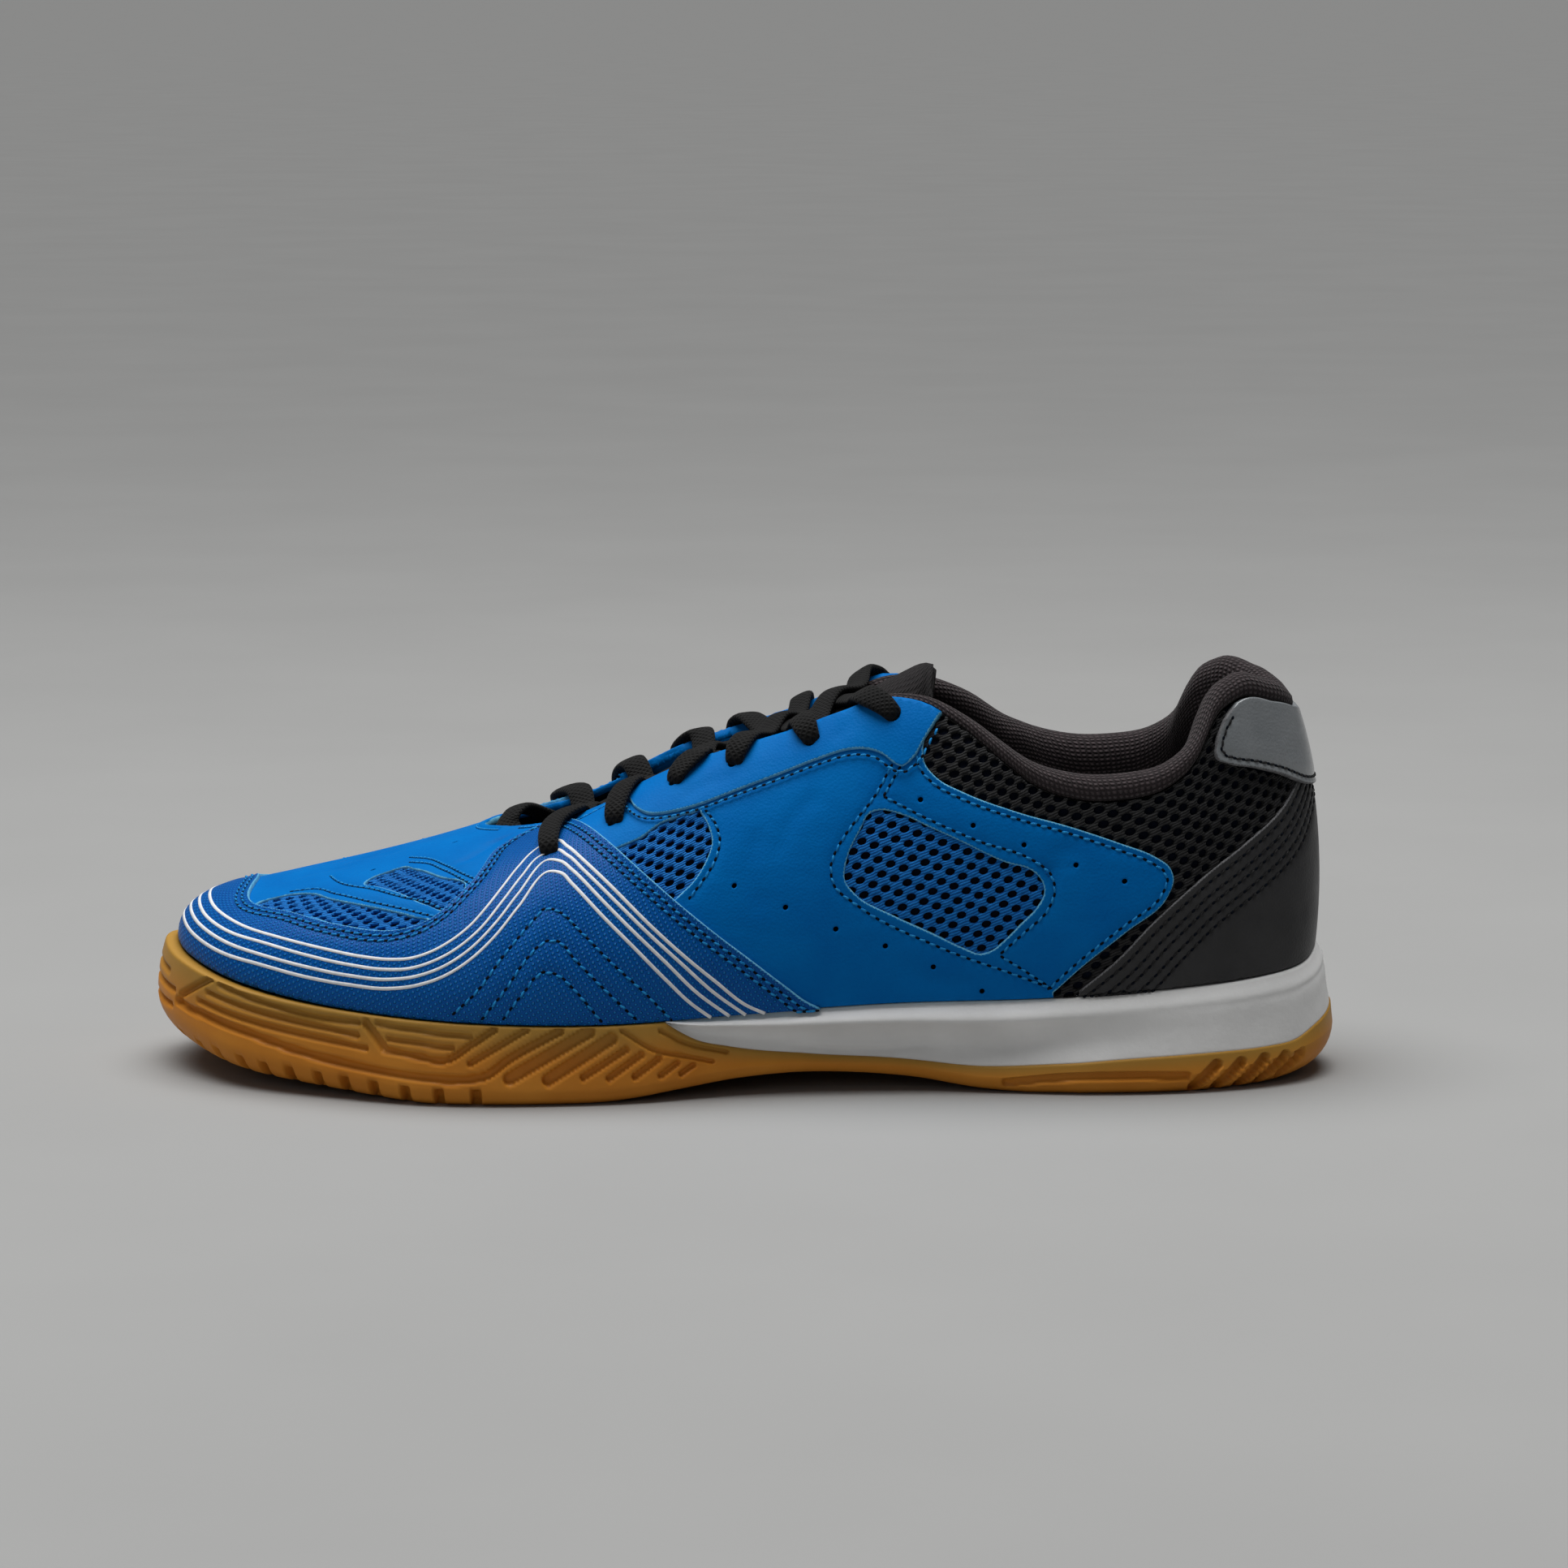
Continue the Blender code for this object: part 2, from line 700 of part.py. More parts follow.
def make_collar(collection):
    """The padded roll on the rim, with its lining down the inside."""
    half = UPPER_STATIONS[UPPER_STATIONS <= COLLAR_END].astype(float)
    stations = np.concatenate([-half[:0:-1], half])
    roll = hermite(COLLAR_SIZE["station"], COLLAR_SIZE["roll"], np.abs(stations))
    tail = hermite(COLLAR_SIZE["station"], COLLAR_SIZE["tail"], np.abs(stations))
    rim = rim_line(stations)
    out = upper_normal(stations, np.ones_like(stations))
    up = rim - upper(stations, np.full_like(stations, 0.96))
    up = up / np.linalg.norm(up, axis=-1, keepdims=True)
    points = []
    for across_it, up_it in zip(COLLAR_SECTION["out"], COLLAR_SECTION["up"]):
        wide = roll * (across_it - COLLAR_BACK) + COLLAR_BACK
        if up_it < 0:
            share = share_below(stations, -up_it * tail)
            points.append(off_upper(stations, share, wide))
        else:
            tall = roll * (up_it - COLLAR_LOW) + COLLAR_LOW
            points.append(rim + wide[:, None] * out + tall[:, None] * up)
    loft("collar", np.stack(points, 1), "black_knit", collection)


def tongue_rows(stations):
    """Rows of points over the tongue's top face, from its lateral wing to its medial one."""
    wing = np.interp(stations, TONGUE_WING["station"], TONGUE_WING["width"])
    sides = []
    for turn in (stations, 360 - stations):
        shares = [share_below(turn, wing * part) for part in (1.0, 0.5, 0.0)]
        sides.append([off_upper(turn, share, 0 * turn - TONGUE_DEPTH) for share in shares])
    lateral, medial = sides
    handles = []
    for side in sides:
        lead = side[2] - side[1]
        lead = lead / np.linalg.norm(lead, axis=-1, keepdims=True)
        reach = TONGUE_ARCH * np.linalg.norm(lateral[2] - medial[2], axis=-1, keepdims=True)
        handles.append(side[2] + reach * lead)
    bridge = []
    for t in (0.25, 0.5, 0.75):
        rest = 1 - t
        bridge.append(
            lateral[2] * rest**3
            + 3 * handles[0] * t * rest**2
            + 3 * handles[1] * t**2 * rest
            + medial[2] * t**3
        )
    return np.stack([*lateral, *bridge, *reversed(medial)], 1)


def make_tongue(collection):
    """The padded tongue under the throat, with its free end above the top eyelets."""
    top = tongue_rows(TONGUE_STATIONS)
    last = top[-1]
    middle = last.shape[0] // 2
    ahead = last[middle] - top[-2, middle]
    ahead = ahead / np.linalg.norm(ahead)
    for reach, narrow in TONGUE_TIP:
        row = last * (1, narrow, 1) + reach * ahead
        top = np.concatenate([top, row[None]])
    down = np.cross(np.gradient(top[:, middle], axis=0), [0, 1, 0])
    down = down / np.linalg.norm(down, axis=-1, keepdims=True)
    down *= -np.sign(down[:, 2:])
    below = top + TONGUE_THICKNESS * down[:, None]
    loft("tongue", np.concatenate([top, below[:, ::-1]], 1), "black_knit", collection)


def inside(point, loop):
    """Whether a point is in a closed loop of points."""
    x, y = point
    crossed = False
    for (x0, y0), (x1, y1) in zip(loop, np.roll(loop, -1, axis=0)):
        if (y0 > y) != (y1 > y) and x < x0 + (y - y0) * (x1 - x0) / (y1 - y0):
            crossed = not crossed
    return crossed


def spaced(loop, spacing):
    """A closed loop with points added so that no side is longer than the spacing."""
    made = []
    for here, there in zip(loop, np.roll(loop, -1, axis=0)):
        count = max(1, math.ceil(np.linalg.norm(there - here) / spacing))
        made += [here + (there - here) * k / count for k in range(count)]
    return np.array(made)


def overlay(name, edge, holes, finish, collection, spacing=7.5):
    """A leather piece lying on the upper, cut to an edge given in stations and shares."""
    loops = [spaced(np.array(loop) * FLAT, spacing) for loop in (edge, *holes)]
    points = [tuple(p) for loop in loops for p in loop]
    low, high = loops[0].min(axis=0), loops[0].max(axis=0)
    for row, y in enumerate(np.arange(low[1], high[1], spacing * 0.87)):
        for x in np.arange(low[0] + (row % 2) * spacing / 2, high[0], spacing):
            near = min(np.linalg.norm(loop - (x, y), axis=1).min() for loop in loops)
            if near > 0.6 * spacing and inside((x, y), loops[0]):
                points.append((x, y))
    sides, start = [], 0
    for loop in loops:
        count = len(loop)
        sides += [(start + k, start + (k + 1) % count) for k in range(count)]
        start += count
    made = delaunay_2d_cdt([Vector(p) for p in points], sides, [], 0, 1e-7)
    flat_points = np.array([tuple(p) for p in made[0]])
    stations, shares = (flat_points / FLAT).T
    placed = off_upper(stations, shares, OVERLAY_GAP + 0 * stations)
    bm = bmesh.new()
    verts = [bm.verts.new(Vector(p * MM)) for p in placed]
    for face in made[2]:
        corner = flat_points[list(face)]
        one, two = corner[1] - corner[0], corner[2] - corner[0]
        area = one[0] * two[1] - one[1] * two[0]
        centre = corner.mean(axis=0)
        kept = inside(centre, loops[0]) and not any(inside(centre, hole) for hole in loops[1:])
        if kept and abs(area) > SLIVER:
            bm.faces.new([verts[k] for k in (face if area < 0 else face[::-1])])
    bmesh.ops.delete(bm, geom=[v for v in bm.verts if not v.link_faces], context="VERTS")
    piece = add_object(name, bm, finish, collection)
    wall = piece.modifiers.new("wall", "SOLIDIFY")
    wall.thickness = OVERLAY * MM
    wall.offset = 1


def mirrored(loop):
    """A loop of the outer side, on the inner side."""
    return np.array([(360 - station, share) for station, share in loop])


def closed_along(loop, share, count):
    """A loop closed by points at one share, from its last station back to its first."""
    stations = np.linspace(loop[-1, 0], loop[0, 0], count)[1:-1]
    return np.vstack([loop, [(station, share) for station in stations]])


def round_heel(loop, back):
    """A loop carried round the heel at a share and back along the inner side."""
    other = [(-station, share) for station, share in loop[::-1]]
    return np.vstack([loop, [(0, back)], other])


def make_overlays(collection):
    """The leather pieces on the upper, each a little off it."""
    guard = from_sheet(TOE_GUARD_EDGE)
    guard[0, 1] = SHARE_FOOT
    guard = np.vstack([guard, [(180, TOE_GUARD_TIP)], mirrored(guard)[::-1]])
    guard = closed_along(guard, SHARE_FOOT, 30)
    overlay("toe_guard", guard, [], "blue_textured", collection, 8.5)

    stay = from_sheet(EYESTAY_EDGE)
    stay[0] = stay[1, 0] + 1.5, SHARE_TOP
    stay[-1, 1] = SHARE_TOP
    stay = closed_along(stay, SHARE_TOP, 12)
    quarter = from_sheet(QUARTER_EDGE)
    quarter[0, 1] = quarter[-1, 1] = SHARE_FOOT
    quarter = closed_along(quarter, SHARE_FOOT, 10)
    window = from_sheet(WINDOW_EDGE)
    for side, turned in (("lateral", np.array), ("medial", mirrored)):
        overlay(f"eyestay_{side}", turned(stay), [], "blue_leather", collection, 6.0)
        name = f"quarter_panel_{side}"
        overlay(name, turned(quarter), [turned(window)], "blue_leather", collection)

    counter = from_sheet(COUNTER_EDGE)
    counter[0, 1] = SHARE_FOOT
    counter = closed_along(round_heel(counter, COUNTER_BACK), SHARE_FOOT, 16)
    overlay("heel_counter", counter, [], "black_leather", collection, 9.0)

    patch = from_sheet(PATCH_EDGE)
    patch[0, 1] = SHARE_TOP
    patch = closed_along(round_heel(patch, PATCH_BACK), SHARE_TOP, 10)
    overlay("heel_patch", patch, [], "grey_leather", collection)


def prism(bm, path, out, up, half_width, depth):
    """A bar of diamond section along a path, for a groove of a width and depth."""
    rows = []
    for point, o, u in zip(path, out, up):
        corners = (u * half_width, o * depth, -u * half_width, -o * depth)
        rows.append([bm.verts.new(Vector((point + c) * MM)) for c in corners])
    for here, there in zip(rows, rows[1:]):
        for i in range(4):
            j = (i + 1) % 4
            bm.faces.new((here[i], here[j], there[j], there[i]))
    bm.faces.new(rows[0])
    bm.faces.new(rows[-1])


def side_frame(stations, share):
    """Points on the sole's side wall by share of its height, with directions out and up."""
    tread, _, gum = sole_heights(stations)
    cup = 180 - np.abs(180 - stations % 360) > WEDGE_TIP
    top = np.where(cup, both_sides(RIBS, "height", stations), gum)
    points = with_height(outline(SOLE, SOLE_LENGTH, stations), tread + share * (top - tread))
    out = with_height(outward(SOLE, SOLE_LENGTH, stations), 0.0)
    return points, out, np.broadcast_to([0.0, 0.0, 1.0], out.shape)


def box(bm, point, out, size):
    """A block centred on a point: size across the wall, along it and up."""
    turn = Vector(out).to_track_quat("X", "Z").to_matrix().to_4x4()
    stretch = Matrix.Diagonal((*(MM * s for s in size), 1))
    place = Matrix.Translation(Vector(point * MM)) @ turn @ stretch
    bmesh.ops.create_cube(bm, size=1, matrix=place)


def combine(piece, tool, operation):
    """Join a tool to a piece or cut it out; the tool itself isn't shown."""
    tool.hide_render = True
    tool.display_type = "WIRE"
    made = piece.modifiers.new(tool.name, "BOOLEAN")
    made.operation = operation
    made.solver = "EXACT"
    made.object = tool


def cut_sole(piece, collection):
    """Notches under the toe's edge, ribs along the cup, slashes at the heel and tread grooves."""
    bm = bmesh.new()
    for mirror in (1, -1):
        for places in (NOTCHES, SLASHES):
            points, out, _ = side_frame(np.linspace(*places) * mirror % 360, 0.0)
            for point, o in zip(points, out):
                box(bm, point - o, o, (2 * NOTCH_REACH, NOTCH_WIDTH, 2 * NOTCH_HEIGHT))
        for first, last, share in RIB_GROOVES:
            stations = np.linspace(first, last, 8) * mirror % 360
            prism(bm, *side_frame(stations, share), GROOVE_WIDTH / 2, GROOVE_DEPTH)
    for along, half in TREAD_GROOVES:
        size = (2 * half, NOTCH_WIDTH, 2 * TREAD_DEPTH)
        box(bm, np.array([along, 0, 0]), np.array([0, -1, 0]), size)
    bmesh.ops.recalc_face_normals(bm, faces=bm.faces)
    combine(piece, add_object("sole_cutter", bm, "gum_rubber", collection), "DIFFERENCE")


def strand(name, points, normals, collection):
    """A flat lace through points, its face turned to the normals."""
    knots = np.append(0, np.cumsum(np.linalg.norm(np.diff(points, axis=0), axis=1)))
    at = np.linspace(0, knots[-1], LACE_SECTIONS)
    path = np.stack([hermite(knots, points[:, k], at) for k in range(3)], -1)
    face = np.stack([np.interp(at, knots, normals[:, k]) for k in range(3)], -1)
    lead = np.gradient(path, axis=0)
    lead /= np.linalg.norm(lead, axis=1, keepdims=True)
    side = np.cross(lead, face)
    side /= np.linalg.norm(side, axis=1, keepdims=True)
    face = np.cross(side, lead)
    rows = [path + a * LACE_WIDTH * side + b * LACE_THICKNESS * face for a, b in LACE_SECTION]
    return loft(name, np.stack(rows, 1), "black_cord", collection)


def make_laces(places, collection, tools):
    """Five crossings. Each strand lies on the eyestay at its eyelet, crosses the tongue and
    dips inside the far edge of the throat."""
    lift = OVERLAY_GAP + OVERLAY + GAP + LACE_THICKNESS / 2
    for row, (low, high) in enumerate(zip(places, places[1:]), 1):
        step = high[0] - low[0]
        edge = low[0] + LACE_EDGE * step
        far = low[0] + LACE_FAR * step
        over = tongue_rows(np.array([low[0] + step / 2]))[0]
        crown = over[len(over) // 2] + (0, 0, LACE_CROWN)
        pair = []
        for name, side, place in (("cross", 1, collection), ("under", -1, tools)):
            near_at, edge_at, far_at = (at * side % 360 for at in (low[0], edge, -far))
            tucked = off_upper(far_at, 1.0, LACE_DIP) - (0, side * LACE_INSIDE, 0)
            points = [
                off_upper(near_at, low[1], lift),
                off_upper(edge_at, 1.0, lift + LACE_EDGE_LIFT),
                crown,
                tucked,
            ]
            normals = [
                upper_normal(near_at, low[1]),
                upper_normal(edge_at, 1.0),
                LACE_FACE_MIDDLE,
                LACE_FACE_FAR,
            ]
            pair.append(strand(f"lace_{name}_{row}", np.array(points), np.array(normals), place))
        combine(*pair, "UNION")


def build():
    for old in list(bpy.data.objects):
        bpy.data.objects.remove(old)
    shoe = bpy.data.collections.new("table_tennis_shoe")
    bpy.context.scene.collection.children.link(shoe)
    tools = bpy.data.collections.new("cutters")
    bpy.context.scene.collection.children.link(tools)
    make_upper(shoe)
    cut_sole(make_outsole(shoe), tools)
    make_midsole(shoe)
    make_insole(shoe)
    make_collar(shoe)
    make_tongue(shoe)
    make_overlays(shoe)
    make_laces(from_sheet(EYELETS), shoe, tools)


build()
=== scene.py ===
"""The looks of a left table tennis shoe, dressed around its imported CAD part.

Lengths are in millimetres here and turned to metres where a mesh is made. The toe points to -X and
the outer side of the foot to -Y. Stations are angles round the shoe in plan, from the heel (0) along
the outer side to the toe (180) and back along the inner side (360). A share runs up the upper from
its foot line (0) to its rim (1). Pattern lines of the outer side are read off the photograph, as
pixels of its frame, and the inner side repeats them.
"""

import math

import bmesh
import bpy
import numpy as np
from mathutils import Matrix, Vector
from mathutils.geometry import delaunay_2d_cdt
from mathutils.kdtree import KDTree


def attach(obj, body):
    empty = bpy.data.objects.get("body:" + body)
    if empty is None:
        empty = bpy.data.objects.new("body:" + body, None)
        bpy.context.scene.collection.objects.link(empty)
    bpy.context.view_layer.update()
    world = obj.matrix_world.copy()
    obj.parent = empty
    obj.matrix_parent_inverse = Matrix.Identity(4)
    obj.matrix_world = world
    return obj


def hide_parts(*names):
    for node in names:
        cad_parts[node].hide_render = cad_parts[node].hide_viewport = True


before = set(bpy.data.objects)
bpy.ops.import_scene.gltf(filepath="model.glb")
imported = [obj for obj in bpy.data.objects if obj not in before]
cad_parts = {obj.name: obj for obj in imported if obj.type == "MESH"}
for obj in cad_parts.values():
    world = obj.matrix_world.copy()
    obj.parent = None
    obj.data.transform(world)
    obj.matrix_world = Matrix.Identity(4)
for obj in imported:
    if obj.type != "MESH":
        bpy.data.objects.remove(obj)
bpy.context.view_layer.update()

MM = 0.001

# Sizes that the part has too
SOLE_LENGTH = 290.0
UPPER_LENGTH = 279.2
WALL = 2.2
FOOT_GAP = 0.3
TONGUE_THICKNESS = 5.0
TONGUE_DEPTH = 5.0
LACE_THICKNESS = 2.2

# The photograph's frame, and the line of sight that its pixels are read along
PHOTO_CENTRE = 966.0
PIXELS_PER_MM = 5.0
SHEET_CENTRE = np.array([9.2, 0.0, 70.0])
SIGHT_DISTANCE = 1250.0
SIGHT_ELEVATION = 9.0
LENS = 116.5
SENSOR = 36.0

# The search for a pixel's place: its grid, steps and rounds, how far a face may turn away, how far
# the leather lies above the upper, and the height of the wall that stands for the sole's side
SEARCH_TURNS = np.linspace(3, 177, 175)
SEARCH_SHARES = np.linspace(0, 1, 61)
SEARCH_STEP = (0.2, 0.004)
SEARCH_REACH = np.array([2.0, 0.04])
SEARCH_ROUNDS = 12
TURNED_AWAY = 0.15
SIGHT_LIFT = 1.2
WALL_HEIGHT = 40.0

# Heights of the layers above the upper's outer face
LINING_LEVEL = -0.6
NET_LEVEL = 0.42
VAMP_BOTTOM = -1.0
BASE_BOTTOM = -0.5
BASE_TOP = 0.9
STAY_TOP = 1.75
GUARD_TOP = 1.9

# Steps along lines, and shares of the panels' lower edges and of the black mesh's upper edge
EDGE_STEP = 0.9
SEAM_STEP = 1.0
FINE_STEP = 0.4
FOOT_SHARE = 0.004
MESH_TOP_SHARE = 0.985

# Leather panels: rounded cut edge with a light line on it (raw cut and painted highlight), rings of points
# along it, then an even lattice
EDGE_ROUND = 0.4
EDGE_DROP = 0.25
# Width of the face along each cut that takes the raw edge colour, partly a painted highlight
CUT_AND_HIGHLIGHT_WIDTH = 0.4
CUT_RINGS = (0.16, 0.4, 0.75)
RING_CLEARANCE = 0.85
LATTICE_STEP = 1.35
LATTICE_ROW = 0.87
LATTICE_CLEARANCE = 0.62
SLIVER = 1e-5
MERGE = 1e-6

# Stitch rows sunk in the leather: depth, width, and lines of points along them
STITCH_DIP = 0.32
DIP_WIDTH = 0.75
DIP_LINES = (-0.8, 0.0, 0.8)
DIP_CLEARANCE = 1.1

# Cut edges: small holes have few points, and the edge is folded along the throat up to its end
HOLE_POINTS = 12
SMALL_HOLE_POINTS = 14
FOLDED_SHARE = 0.985
THROAT_END = 160.0

# Threads: how far each stops short of its needle holes, its slant, half sizes, and shape along it
STITCH_PITCH = 2.7
TACK_PITCH = 1.3
THREAD_TUCK = 0.19
THREAD_SLANT = 0.06
THREAD_SINK = 0.1
THREAD_HALVES = (0.3, 0.24)
THREAD_SIDES = 6
THREAD_PROFILE = [
    (0.0, 0.45, -0.16), (0.22, 0.95, 0.02), (0.5, 1.0, 0.07), (0.78, 0.95, 0.02), (1.0, 0.45, -0.16),
]
# Needle holes: flat near-black lenses of painted shade for the holes and the shadow where the thread dives
HOLE_SINK = 0.16
HOLE_HALVES = (0.62, 0.36)
HOLE_CROWN = 0.04

# White lines: width, step, and section in widths and millimetres
STRIPE_WIDTH = 0.85
STRIPE_STEP = 0.7
RIBBON_SECTION = [(-0.5, -0.12), (-0.42, 0.07), (0.0, 0.1), (0.42, 0.07), (0.5, -0.12)]

# Mesh: steps of its holes along and up, the holes' half sizes and tilt, where the yarn is highest
# between a cell's border and its hole, how the hole narrows downwards, and the levels of its rings
NET_STEPS = np.array([(-3.08, -1.16), (-2.12, 2.36)])
BLUE_NET_HOLE = (1.27, 0.92)
BLACK_NET_HOLE = (1.38, 1.0)
NET_TILT = -12.0
NET_CROWN = 0.55
NET_TAPER = 0.93
NET_LEVELS = [NET_LEVEL - 0.05, NET_LEVEL + 0.08, NET_LEVEL - 0.2, LINING_LEVEL - 0.1, LINING_LEVEL - 0.1]
NET_MARGIN = 1.6
NET_CORNERS = 12
NET_WELD = 0.02

# Seams beside the edges, and radii of the holes
GUARD_SEAMS = (1.7, 3.2)
EDGE_SEAM = 1.6
EYELET = 2.0
DOT = 0.64

# How many edge steps of the seams are left out at their ends, and the patch's points at the mesh
QUARTER_SEAM = slice(2, None)
STAY_SEAM = slice(6, -4)
PATCH_SEAM = slice(4, -4)
PATCH_CORNER = slice(3, 0, -1)

# Pitch of the embossed dots, and the flat height that the gum's share of 1 is laid out as
DOT_PITCH = 1.2
GUM_SHARE_SIZE = 20.0


def columns(names, rows):
    """A table as its named columns."""
    return dict(zip(names.split(), np.array(rows, float).T))


RIBS = columns("station lateral medial height rise bulge run drop", [
    (0, 0.0, 0.0, 31.5, 20, 2.0, 5.5, 16), (15, -15.5, 15.5, 28.4, 20, 2.4, 4.5, 16),
    (30, -26.5, 26.0, 26.8, 19, 2.8, 3.5, 15), (45, -33.0, 32.0, 25.2, 17, 3.0, 2.5, 14),
    (60, -34.5, 32.0, 23.3, 20, 3.0, 4.0, 16), (75, -34.5, 28.5, 22.2, 27, 4.5, 12.0, 14),
    (90, -38.0, 29.5, 20.4, 26, 4.5, 14.0, 11), (105, -46.5, 43.0, 19.5, 24, 3.5, 17.0, 9),
    (120, -48.0, 50.5, 20.7, 20, 3.0, 24.0, 9), (135, -38.5, 45.5, 22.5, 17, 2.5, 32.0, 12),
    (150, -26.5, 37.5, 25.7, 15, 1.5, 40.0, 15), (165, -9.5, 26.5, 29.1, 14.5, 0.8, 46.0, 16.5),
    (180, 9.0, 9.0, 31.2, 14.5, 0.3, 48.0, 16.5),
])
RIM = columns("station along half height lift", [
    (0, 134.0, 0.0, 88.8, 0), (12, 132.0, 8.0, 90.5, 0), (23, 127.0, 14.5, 92.6, 0),
    (32, 118.5, 20.5, 93.6, 0), (37, 112.5, 24.5, 88.6, 0.3), (40, 108.5, 27.5, 80.0, 0.8),
    (44, 102.0, 29.8, 74.0, 1.2), (50, 90.0, 31.5, 70.9, 1.5), (55, 79.5, 32.0, 71.2, 1.5),
    (60, 69.0, 31.8, 74.8, 1.2), (64, 61.0, 30.2, 80.8, 0.8), (68, 53.0, 27.0, 87.2, 0.4),
    (72, 44.0, 22.5, 92.6, 0), (76, 35.0, 19.5, 93.8, 0), (82, 23.5, 18.5, 90.0, 0),
    (88, 13.0, 17.6, 85.8, 0), (94, 2.5, 17.0, 82.4, 0), (100, -8.0, 16.5, 79.0, 0),
    (107, -18.0, 16.0, 75.0, 0), (113, -26.0, 15.5, 71.0, 0), (120, -34.0, 15.0, 67.2, 0),
    (127, -41.0, 14.4, 64.2, 0), (136, -48.5, 13.2, 62.2, 0), (148, -56.0, 10.8, 60.9, 0),
    (164, -62.0, 6.0, 60.0, 0), (180, -64.0, 0.0, 59.6, 0),
])
RIM["lateral"] = -RIM["half"]
RIM["medial"] = RIM["half"]
SOLE = columns("station lateral medial round", [
    (0, 0.0, 0.0, 10), (15, -17.5, 17.5, 9), (30, -29.5, 29.0, 6.5), (45, -36.5, 35.5, 4.5),
    (60, -38.0, 35.5, 4), (75, -37.5, 31.5, 3), (90, -41.0, 32.5, 3), (105, -49.5, 46.0, 4),
    (120, -50.5, 53.5, 4.5), (135, -40.5, 48.0, 5.5), (150, -28.5, 39.5, 7.5), (165, -10.5, 28.0, 9),
    (180, 9.5, 9.5, 10),
])
AXIS_SHIFT = -1.0
for table in (RIBS, RIM, SOLE):
    table["lateral"] += AXIS_SHIFT
    table["medial"] += AXIS_SHIFT
TREAD = columns("station height", [
    (0, 1.5), (15, 1.0), (30, 0.3), (42, 0.0), (62, 0.0), (67, 0.8), (75, 3.8), (83, 5.0), (90, 4.3),
    (96, 2.4), (103, 0.3), (108, 0.0), (122, 0.0), (128, 0.9), (135, 2.0), (150, 3.8), (165, 6.2),
    (180, 7.2),
])

# How far the foam's side lies inside the sole's outline, from its lower edge to its upper one, the
# shares of its height at which its curve is held, and a moulded line as depth, width and pixels
WEDGE_SIDE = columns("station low waist ridge top", [
    (0, 0.9, 1.8, 2.6, 4.0), (30, 0.9, 1.5, 2.0, 3.4), (50, 1.0, 1.9, 1.5, 3.0), (66, 1.2, 3.4, 0.5, 2.8),
    (90, 1.2, 3.2, 0.2, 2.8), (180, 1.2, 3.0, 0.2, 2.8),
])
WEDGE_SHARES = np.array([0.0, 0.36, 0.62, 0.71, 0.76, 0.95])
WEDGE_LINE = (1.1, 0.9, [(985, 1296), (1040, 1300), (1095, 1300), (1140, 1295)])

# The foam's rows: below its lower edge and over its shoulder as gaps and drops, and its share of arch
WEDGE_SECTIONS = 260
WEDGE_ROWS = 40
WEDGE_GAP = 0.05
WEDGE_FOOT = ((2.5, 1.2), (0.4, 0.4))
WEDGE_SHOULDER = ((0.35, 0.1), (1.0, 0.0), (6.0, 0.0))
WAIST_ARCH = 0.7
RIDGE_PART = 0.6

# Collar roll: its section, where that is fixed, and its size from the heel to its ends
COLLAR_SECTION = columns("out up", [
    (-0.1, 0.4), (0.7, 1.8), (0.8, 3.6), (-0.6, 5.6), (-3.2, 6.6), (-6.2, 5.8), (-8.2, 3.0), (-8.8, -2.0),
    (-7.8, -12.0), (-4.6, -24.0), (-2.9, -24.0), (-2.9, 0.4),
])
COLLAR_BACK = -2.9
COLLAR_LOW = 0.4
COLLAR_LEAN = 0.96
COLLAR_TURNS = np.linspace(-91, 91, 183)
COLLAR_POINTS = 48
COLLAR_SIZE = columns("station roll tail", [
    (0, 1.0, 1.0), (40, 1.0, 1.0), (58, 1.0, 0.8), (66, 0.8, 0.3), (73, 0.55, 0.1), (80, 0.46, 0.06),
    (88, 0.4, 0.06), (91, 0.25, 0.06),
])

# Tongue: how wide it lies under the leather, how far it arches, and its free end with its rounding
TONGUE_TURNS = np.linspace(168, 77, 46)
TONGUE_WING = columns("station width", [(75.8, 1.35), (86, 9.0)])
TONGUE_ARCH = 0.34
TONGUE_END = 11.0
TONGUE_ROUND = 0.6
TONGUE_POINTS = 56
TIP_ROWS = 8
TIP_THIN = 0.9
TIP_NARROW = 0.2
TIP_CORNER = 0.25

# Lining's grid, and the insole: its grid, how far it lies inside the upper, rim, height and dish
LINING_TURNS = np.arange(0.0, 360.0, 2.0)
LINING_SHARES = np.linspace(0.0, 0.995, 30)
INSOLE_TURNS = np.linspace(2, 178, 89)
INSOLE_PARTS = np.linspace(0, 1, 31)
INSOLE_GAP = 3.5
INSOLE_LOW = 0.4
INSOLE_HIGH = 4.2
INSOLE_DISH = 0.9

